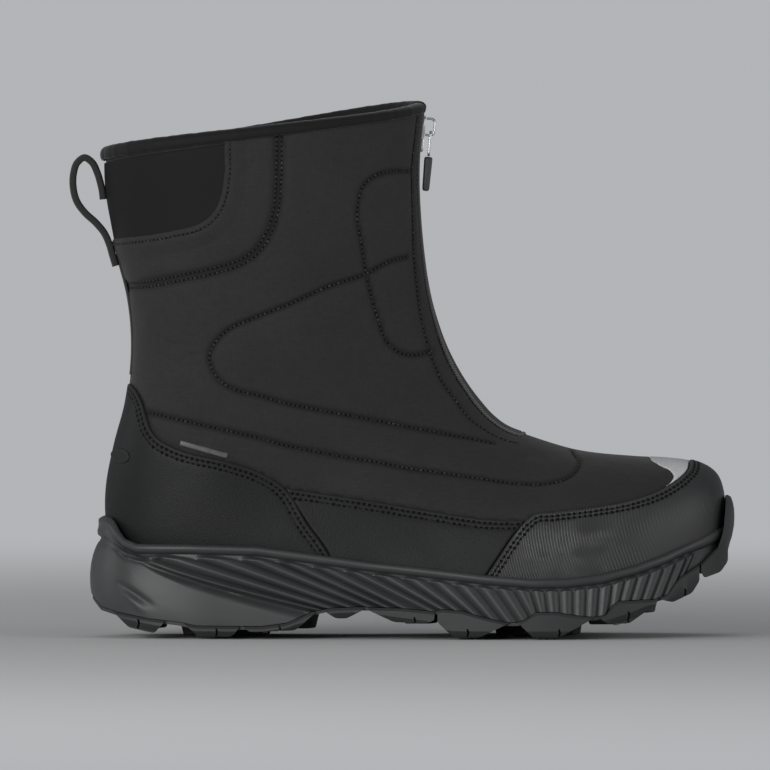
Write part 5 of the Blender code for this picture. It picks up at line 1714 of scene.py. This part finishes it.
middleBlocks = [  # x, half length, half width
    (26, 6, 12), (50, 6.5, 13), (74, 6.5, 12), (96, 6, 11), (153, 6, 11),
    (175, 7, 14), (197, 7, 16), (219, 7, 16), (240, 6.5, 14), (256.5, 4.5, 12),
]
outsole = {
    "sheet": 1.5 * mm,  # how thick it is between the blocks
    "hole": (2.9 * mm, 3 * mm, 2.8 * mm),  # round each stud: radius, and how far below and above the block's face
    "chamfer": 1.2 * mm,  # along the top of each edge block
    "sipes": [22.0, 58.5, 88.0, 151.0, 175.8, 218.5, 251.0, 277.5],
    "sipe": (0.9 * mm, 6.0 * mm),  # width, and how far in from the side
}
studs = np.array([  # x, y, and the height of the block's face there
    (*firstStud, 0.9), (57.5, 28, 0.9), (50, -7.5, 0.9), (50, 4.5, 0.9), (82, -31, 3.35),
    (82, 25.5, 3.35), (176.5, -41, 0.9), (176.5, 36, 0.9), (176, -3, 0.9), (212.5, -45, 0.9),
    (212.5, 44, 0.9), (197, -10, 0.9), (197, 6, 0.9), (219, 0, 0.9), (246, -37, 7.1),
    (246, 41, 7.1),
]) * mm


def manyFrom(name, shapes):
    points, faces = [], []
    for shapePoints, shapeFaces in shapes:
        faces += [tuple(corner + len(points) for corner in face) for face in shapeFaces]
        points += [tuple(point) for point in shapePoints]
    return solidFrom(name, points, faces)


def softened(outline, reach):
    # a closed outline with its corners rounded
    outline = np.asarray(outline, float)
    found = []
    for i, corner in enumerate(outline):
        before, after = outline[i - 1] - corner, outline[(i + 1) % len(outline)] - corner
        a, b = (way * min(reach / np.linalg.norm(way), 0.45) for way in (before, after))
        found += [corner + a * (1 - t) ** 2 + b * t * t for t in np.linspace(0, 1, 5)]
    return [tuple(point) for point in found]


def soleBlock(name, levels, steps=150):
    x = aroundSole(soleLength / 2 * (1 - np.cos(np.linspace(0, math.pi, steps))))
    side = np.concatenate([-np.ones(steps), np.ones(steps - 2)])
    rings = []
    for table, added, inset, *under in levels:
        points = planPoints(x, side, np.full(len(x), inset * mm))
        z = heightAt(table, points[:, 0]) + added * mm
        for other, more in under:
            z = np.minimum(z, heightAt(other, points[:, 0]) + more * mm)
        rings.append(np.column_stack([points, z]))
    return ringSolid(name, rings, stripFaces)


def makeEdgeBlocks():
    past, chamfer = 40 * mm, outsole["chamfer"] / mm
    shapes = []
    for row in np.array(edgeBlocks) * mm:
        backX, backZ, lowBackX, lowBackZ, lowFrontX, lowFrontZ, frontX, frontZ, reach = row
        outline = softened([
            (backX, backZ + past), (backX, backZ), (lowBackX, lowBackZ), (lowFrontX, lowFrontZ),
            (frontX, frontZ), (frontX, frontZ + past),
        ], 1.3 * mm)
        x = (lowBackX + lowFrontX) / 2
        middle, half = (float(np.interp(x, solePlan[:, 0], solePlan[:, column])) for column in (1, 2))
        inner = max(half - reach, gaps["seat"] / 2)
        shapes += [slab(outline, sorted((middle + side * inner, middle + side * beside))) for side in (-1, 1)]
    blocks = soleBlock("edgeBlocks", [
        (tread, -4, 3.0), (tread, 0.0, 2.0), (tread, 0.7, 0.5), (tread, 3.0, -1.5, (parting, -2.6)),
        (parting, -0.3 - chamfer, -1.5), (parting, -0.3, -1.5 + chamfer), (parting, 8, -1.5 + chamfer),
    ])
    cut(blocks, manyFrom("blockOutlines", shapes), "INTERSECT")
    wide, deep = outsole["sipe"]
    slits = []
    for x in np.array(outsole["sipes"]) * mm:
        low = float(heightAt(tread, x)) - 4 * mm
        line = [(x + lean * mm, height * mm + low) for lean, height in ((0, 0), (0, 4.4), (0.5, 6.2), (0.1, 8.0))]
        outline = [*line, *[(a + wide, b) for a, b in reversed(line)]]
        for side in (-1, 1):
            edge = float(planPoints(np.array([x]), np.array([side]), np.array([0.0]))[0, 1])
            slits.append(slab(outline, sorted((edge - side * deep, edge + side * 8 * mm))))
    return cut(blocks, manyFrom("sipes", slits))


def makeMiddleBlocks():
    # arrow-shaped blocks down the middle, wider at the root
    shapes = []
    for x, length, width in np.array(middleBlocks) * mm:
        middle = float(np.interp(x, solePlan[:, 0], solePlan[:, 1]))
        top, low = float(heightAt(parting, x)) + 4 * mm, float(heightAt(tread, x))
        rings = []
        for z, grow in ((low, -0.5 * mm), (low + 0.5 * mm, 0.2 * mm), (top, 2.4 * mm)):
            half, wide, point = length + grow, width + grow, 3.5 * mm
            outline = [(x + half, middle - wide), (x + half + point, middle), (x + half, middle + wide),
                       (x - half, middle + wide), (x - half + point, middle), (x - half, middle - wide)]
            rings += [(a, b, z) for a, b in softened(outline, 1.0 * mm)]
        shapes.append((rings, ringFaces(3, len(rings) // 3)))
    return manyFrom("middleBlocks", shapes)


def makeStudHoles():
    wide, low, high = outsole["hole"]
    holes = []
    for x, y, z in studs:
        rings = [(x + wide * math.cos(t), y + wide * math.sin(t), height)
                 for height in (z - low, z + high) for t in turnsOf(24)]
        holes.append((rings, ringFaces(2, 24)))
    return manyFrom("studHoles", holes)


def makeOutsole():
    made = soleBlock("treadedOutsole", [(parting, -12, 0.8), (parting, 9, 0.8)])
    cut(made, underPrism("sheetLow", parting, gaps["seat"] + outsole["sheet"]))
    cut(made, makeEdgeBlocks(), "UNION")
    cut(made, makeMiddleBlocks(), "UNION")
    cut(made, underPrism("sheetTop", parting, gaps["seat"]), "INTERSECT")
    cut(made, makeGuard(), "UNION")
    cut(made, makeStudHoles())
    dress(made, "tread_rubber", ("outsole",), sharp=38)


def makeGuard():
    # the toe guard rises in front of the midsole and the toe cap
    guard = soleBlock("toeGuard", [
        (parting, -9, 1.0), (parting, -6, -0.1), (parting, -4, -1.2), (lip, -1, -2.1), (lip, 3, -2.3),
        (lip, 7, -2.1), (lip, 10, -1.5), (lip, 12.4, -0.6), (lip, 13.6, 0.8),
    ])
    cut(guard, soleBlock("guardInside", [
        (parting, -30, 2.0), (parting, -2.5, 2.0), (parting, -1.5, -0.3), (lip, 0.2, -0.3), (lip, 5, 0.8),
        (lip, 12, 2.4),
    ], 170))
    cut(guard, netForm("guardToe", 2 * gaps["seat"] + gaps["overlay"], 2))
    edge = np.array([
        (283.0, 30.0), (289.6, 36.0), (293.0, 39.8), (295.2, 46.0), (296.4, 50.0), (297.2, 58.0), (298.0, 69.0),
        (310.0, 69.0), (310.0, 30.0),
    ]) * mm
    cut(guard, acrossPrism("guardEdge", softened(edge, 2.5 * mm)), "INTERSECT")
    front = softened(np.array([
        (-34.0, 20.0), (34.0, 20.0), (31.0, 44.0), (25.0, 55.0), (17.0, 64.0), (11.0, 67.2), (-11.0, 67.2),
        (-17.0, 64.0), (-25.0, 55.0), (-31.0, 44.0),
    ]) * mm, 4 * mm)
    points = [(x, y + 4.8 * mm, z) for x in (0.21, 0.34) for y, z in front]
    return cut(guard, solidFrom("guardFront", points, ringFaces(2, len(front))), "INTERSECT")


makeOutsole()
print("outsole made")


def makeStuds():
    # a steel pin in a collared body, set into each block
    standOut = 0.9 * mm  # how far the pin stands out of the block
    profile = [(0.9, 0.0), (1.25, 0.12), (1.4, 0.45), (1.5, 1.0), (2.35, 1.02), (2.6, 1.2), (2.6, 3.4)]
    points = [(r * mm * math.cos(t), r * mm * math.sin(t), z * mm) for r, z in profile for t in turnsOf(24)]
    shape = newObject("stud", points, faces=ringFaces(len(profile), 24), shift=0)
    tree, named, add, join, start, put = shapesTree("studsOnPoints", {})
    spots = add("GeometryNodeMeshToPoints")
    join((start, "Geometry", spots, "Mesh"), (spots, "Points", put, "Points"))
    made = newObject("soleStuds", studs - [0, 0, standOut])
    nodes = [f"stud_{number:02d}" for number in range(1, len(studs) + 1)]
    runTree(made, (tree, named), shape, "stud_steel", nodes)
    made.data.set_sharp_from_angle(angle=math.radians(35))


makeStuds()
print("studs made")


# The slider and its pull


sliderStation = 24.37


def sliderFrame():
    # columns: across the boot, up along the zip, out of the shin; and where it sits
    low, high = (lastPoints(sliderStation + step, math.pi) for step in (-0.5, 0.5))
    up = unit(high - low)
    across = np.array([0.0, 1.0, 0.0])
    return lastPoints(sliderStation, math.pi), np.column_stack([across, up, np.cross(across, up)])


def tabFrame():
    # columns: along the pin, down the hanging tab, out of the shin
    origin, turn = sliderFrame()
    hinge = origin + turn @ (np.array([0, 1.2, 5.3]) * mm)
    lean = math.radians(5)
    across, down = np.array([0.0, -1.0, 0.0]), np.array([-math.sin(lean), 0, -math.cos(lean)])
    return hinge, np.column_stack([across, down, np.cross(across, down)])


def wire(path, radius, closed=False, squash=(1.0, 1.0)):
    # a round bar along a path in its own plane x, y; squash is its width and height
    path = np.asarray(path, float)
    ways = np.roll(path, -1, axis=0) - np.roll(path, 1, axis=0) if closed else np.gradient(path, axis=0)
    left = unit(np.column_stack([-ways[:, 1], ways[:, 0], np.zeros(len(path))]))
    sides = 16
    turns = turnsOf(sides)
    a, b = radius * squash[0] * powerOf(np.cos(turns), 0.7), radius * squash[1] * powerOf(np.sin(turns), 0.7)
    points = path[:, None, :] + left[:, None, :] * a[:, None] + np.array([0, 0, 1.0]) * b[:, None]
    faces = ringFaces(len(path), sides, not closed)
    if closed:
        last = (len(path) - 1) * sides
        faces += [(last + j, last + (j + 1) % sides, (j + 1) % sides, j) for j in range(sides)]
    return points.reshape(-1, 3), faces


def makeSlider():
    slider = {
        "right": [(2.8, -8.5), (2.8, -1.7), (4.3, 3.0), (4.3, 6.8), (3.0, 8.5)],  # one side of the plate, from below
        "levels": [(0.8, 0.3), (1.0, 0.0), (1.9, 0.0), (2.3, 0.2), (2.5, 0.6)],  # height and how far drawn in
        "arch": [(-0.4, 1.6), (-0.4, 6.9), (7.4, 6.9), (7.4, 1.6)],  # the crown's line: up along the zip, and out
        "wire": (0.6 * mm, 1.83),  # the crown's half thickness, and how much wider it is
    }
    origin, turn = sliderFrame()
    outline = np.array([*slider["right"], *[(-x, y) for x, y in reversed(slider["right"])]]) * mm
    full = np.array(softened(outline, 1.6 * mm))
    middle = full.mean(axis=0)
    rings = []
    for z, shrink in slider["levels"]:
        size = 1 - shrink * mm / np.linalg.norm(full - middle, axis=1)
        flat = middle + (full - middle) * size[:, None]
        rings.append(origin + np.column_stack([flat, np.full(len(flat), z * mm)]) @ turn.T)
    plate = ringSolid("zipSlider", rings)
    arch = softened(np.array(slider["arch"]) * mm, 2.2 * mm)[3:-3]
    radius, wider = slider["wire"]
    points, faces = wire([(y, z, 0.0) for y, z in arch], radius, squash=(1.0, wider))
    cut(plate, solidFrom("crown", origin + points[:, [2, 0, 1]] @ turn.T, faces), "UNION")
    dress(plate, "bright_metal", ("zip_slider",), sharp=40)


def makePull():
    pull = {
        "link": [(-2.0, 0.0), (2.0, 0.0), (2.25, 10.8), (-2.25, 10.8)],  # the bent wire: across, and down
        "from": 11.7, "long": 16.0,  # where the sleeve starts, and its length
        "half": (3.5, 2.0, 0.35),  # half its width, half its thickness, and how much thinner it is at the end
        "rim": (1.2, 1.1, 0.9),  # the ends' rounding: how long, and how much narrower and thinner
        "shares": [0.0, 0.004, 0.015, 0.04, 0.09, 0.5, 0.91, 0.96, 0.985, 0.996, 1.0],
    }
    hinge, turn = tabFrame()
    link = softened(np.array(pull["link"]) * mm, 1.3 * mm)
    points, faces = wire([(x, y, 0.0) for x, y in link], 0.6 * mm, closed=True)
    made = solidFrom("pullLink", hinge + points @ turn.T, faces)
    dress(made, "bright_metal", ("zip_pull",), "pull_tab", sharp=50)
    (wide, thick, taper), (reach, narrower, thinner) = pull["half"], pull["rim"]
    turns, rings = turnsOf(48), []
    for share in pull["shares"]:
        end = min(share, 1 - share) * pull["long"]
        ease = 1.0 - math.sqrt(max(1 - (1 - min(end / reach, 1)) ** 2, 0))
        ring = [
            (wide - narrower * ease) * powerOf(np.cos(turns), 0.4),
            np.full(48, pull["from"] + pull["long"] * share),
            (thick - taper * share - thinner * ease) * powerOf(np.sin(turns), 0.55),
        ]
        rings.append(hinge + np.column_stack(ring) * mm @ turn.T)
    made = ringSolid("pullSleeve", rings)
    dress(made, "grey_rubber", ("pull_sleeve",), "pull_tab", sharp=50)


makeSlider()
makePull()
print("slider and pull made")


# Studio


def makeStudio():
    studio = {
        "lens": 997.0, "elevation": 1.2, "away": 10.0, "aim": (-0.0084, 0.0, 0.1177),
        "floor": 400,  # its radius
        "softboxes": [  # name, place, size, watts
            ("keyLight", (-1.1, -1.9, 0.50), 1.3, 29), ("leftRim", (-1.7, 0.3, 0.6), 1.1, 4),
            ("rightFill", (1.7, -0.9, 0.5), 1.1, 7), ("topLight", (-0.3, 0.5, 2.1), 1.0, 2),
        ],
        "lit": (0, 0, 0.1),  # where they all point
    }
    cam = bpy.data.cameras.new("camera")
    cam.lens, cam.sensor_width = studio["lens"], 36.0
    cam.clip_start, cam.clip_end = 0.05, 1000.0
    camera = bpy.data.objects.new("camera", cam)
    bpy.context.scene.collection.objects.link(camera)
    tilt = math.radians(studio["elevation"])
    back = Vector((0, -math.cos(tilt), math.sin(tilt)))
    camera.location = Vector(studio["aim"]) + back * studio["away"]
    camera.rotation_mode = "QUATERNION"
    camera.rotation_quaternion = (-back).to_track_quat("-Z", "Y")
    bpy.context.scene.camera = camera
    rim = [(studio["floor"] * math.cos(t), studio["floor"] * math.sin(t), -0.0002) for t in turnsOf(96)]
    floor = newObject("floor", rim, faces=[range(len(rim))], shift=0)
    floor.data.materials.append(finishes["studio_floor"])
    world = bpy.data.worlds.new("studio")
    world.use_nodes = True
    world.node_tree.nodes["Background"].inputs["Color"].default_value = roomLight
    bpy.context.scene.world = world
    bpy.context.scene.view_settings.view_transform = "Standard"
    for name, spot, size, watts in studio["softboxes"]:
        lamp = bpy.data.lights.new(name, "AREA")
        lamp.shape, lamp.size, lamp.energy = "SQUARE", size, watts
        made = bpy.data.objects.new(name, lamp)
        made.location = spot
        made.rotation_mode = "QUATERNION"
        made.rotation_quaternion = (Vector(studio["lit"]) - Vector(spot)).to_track_quat("-Z", "Y")
        bpy.context.scene.collection.objects.link(made)


makeStudio()
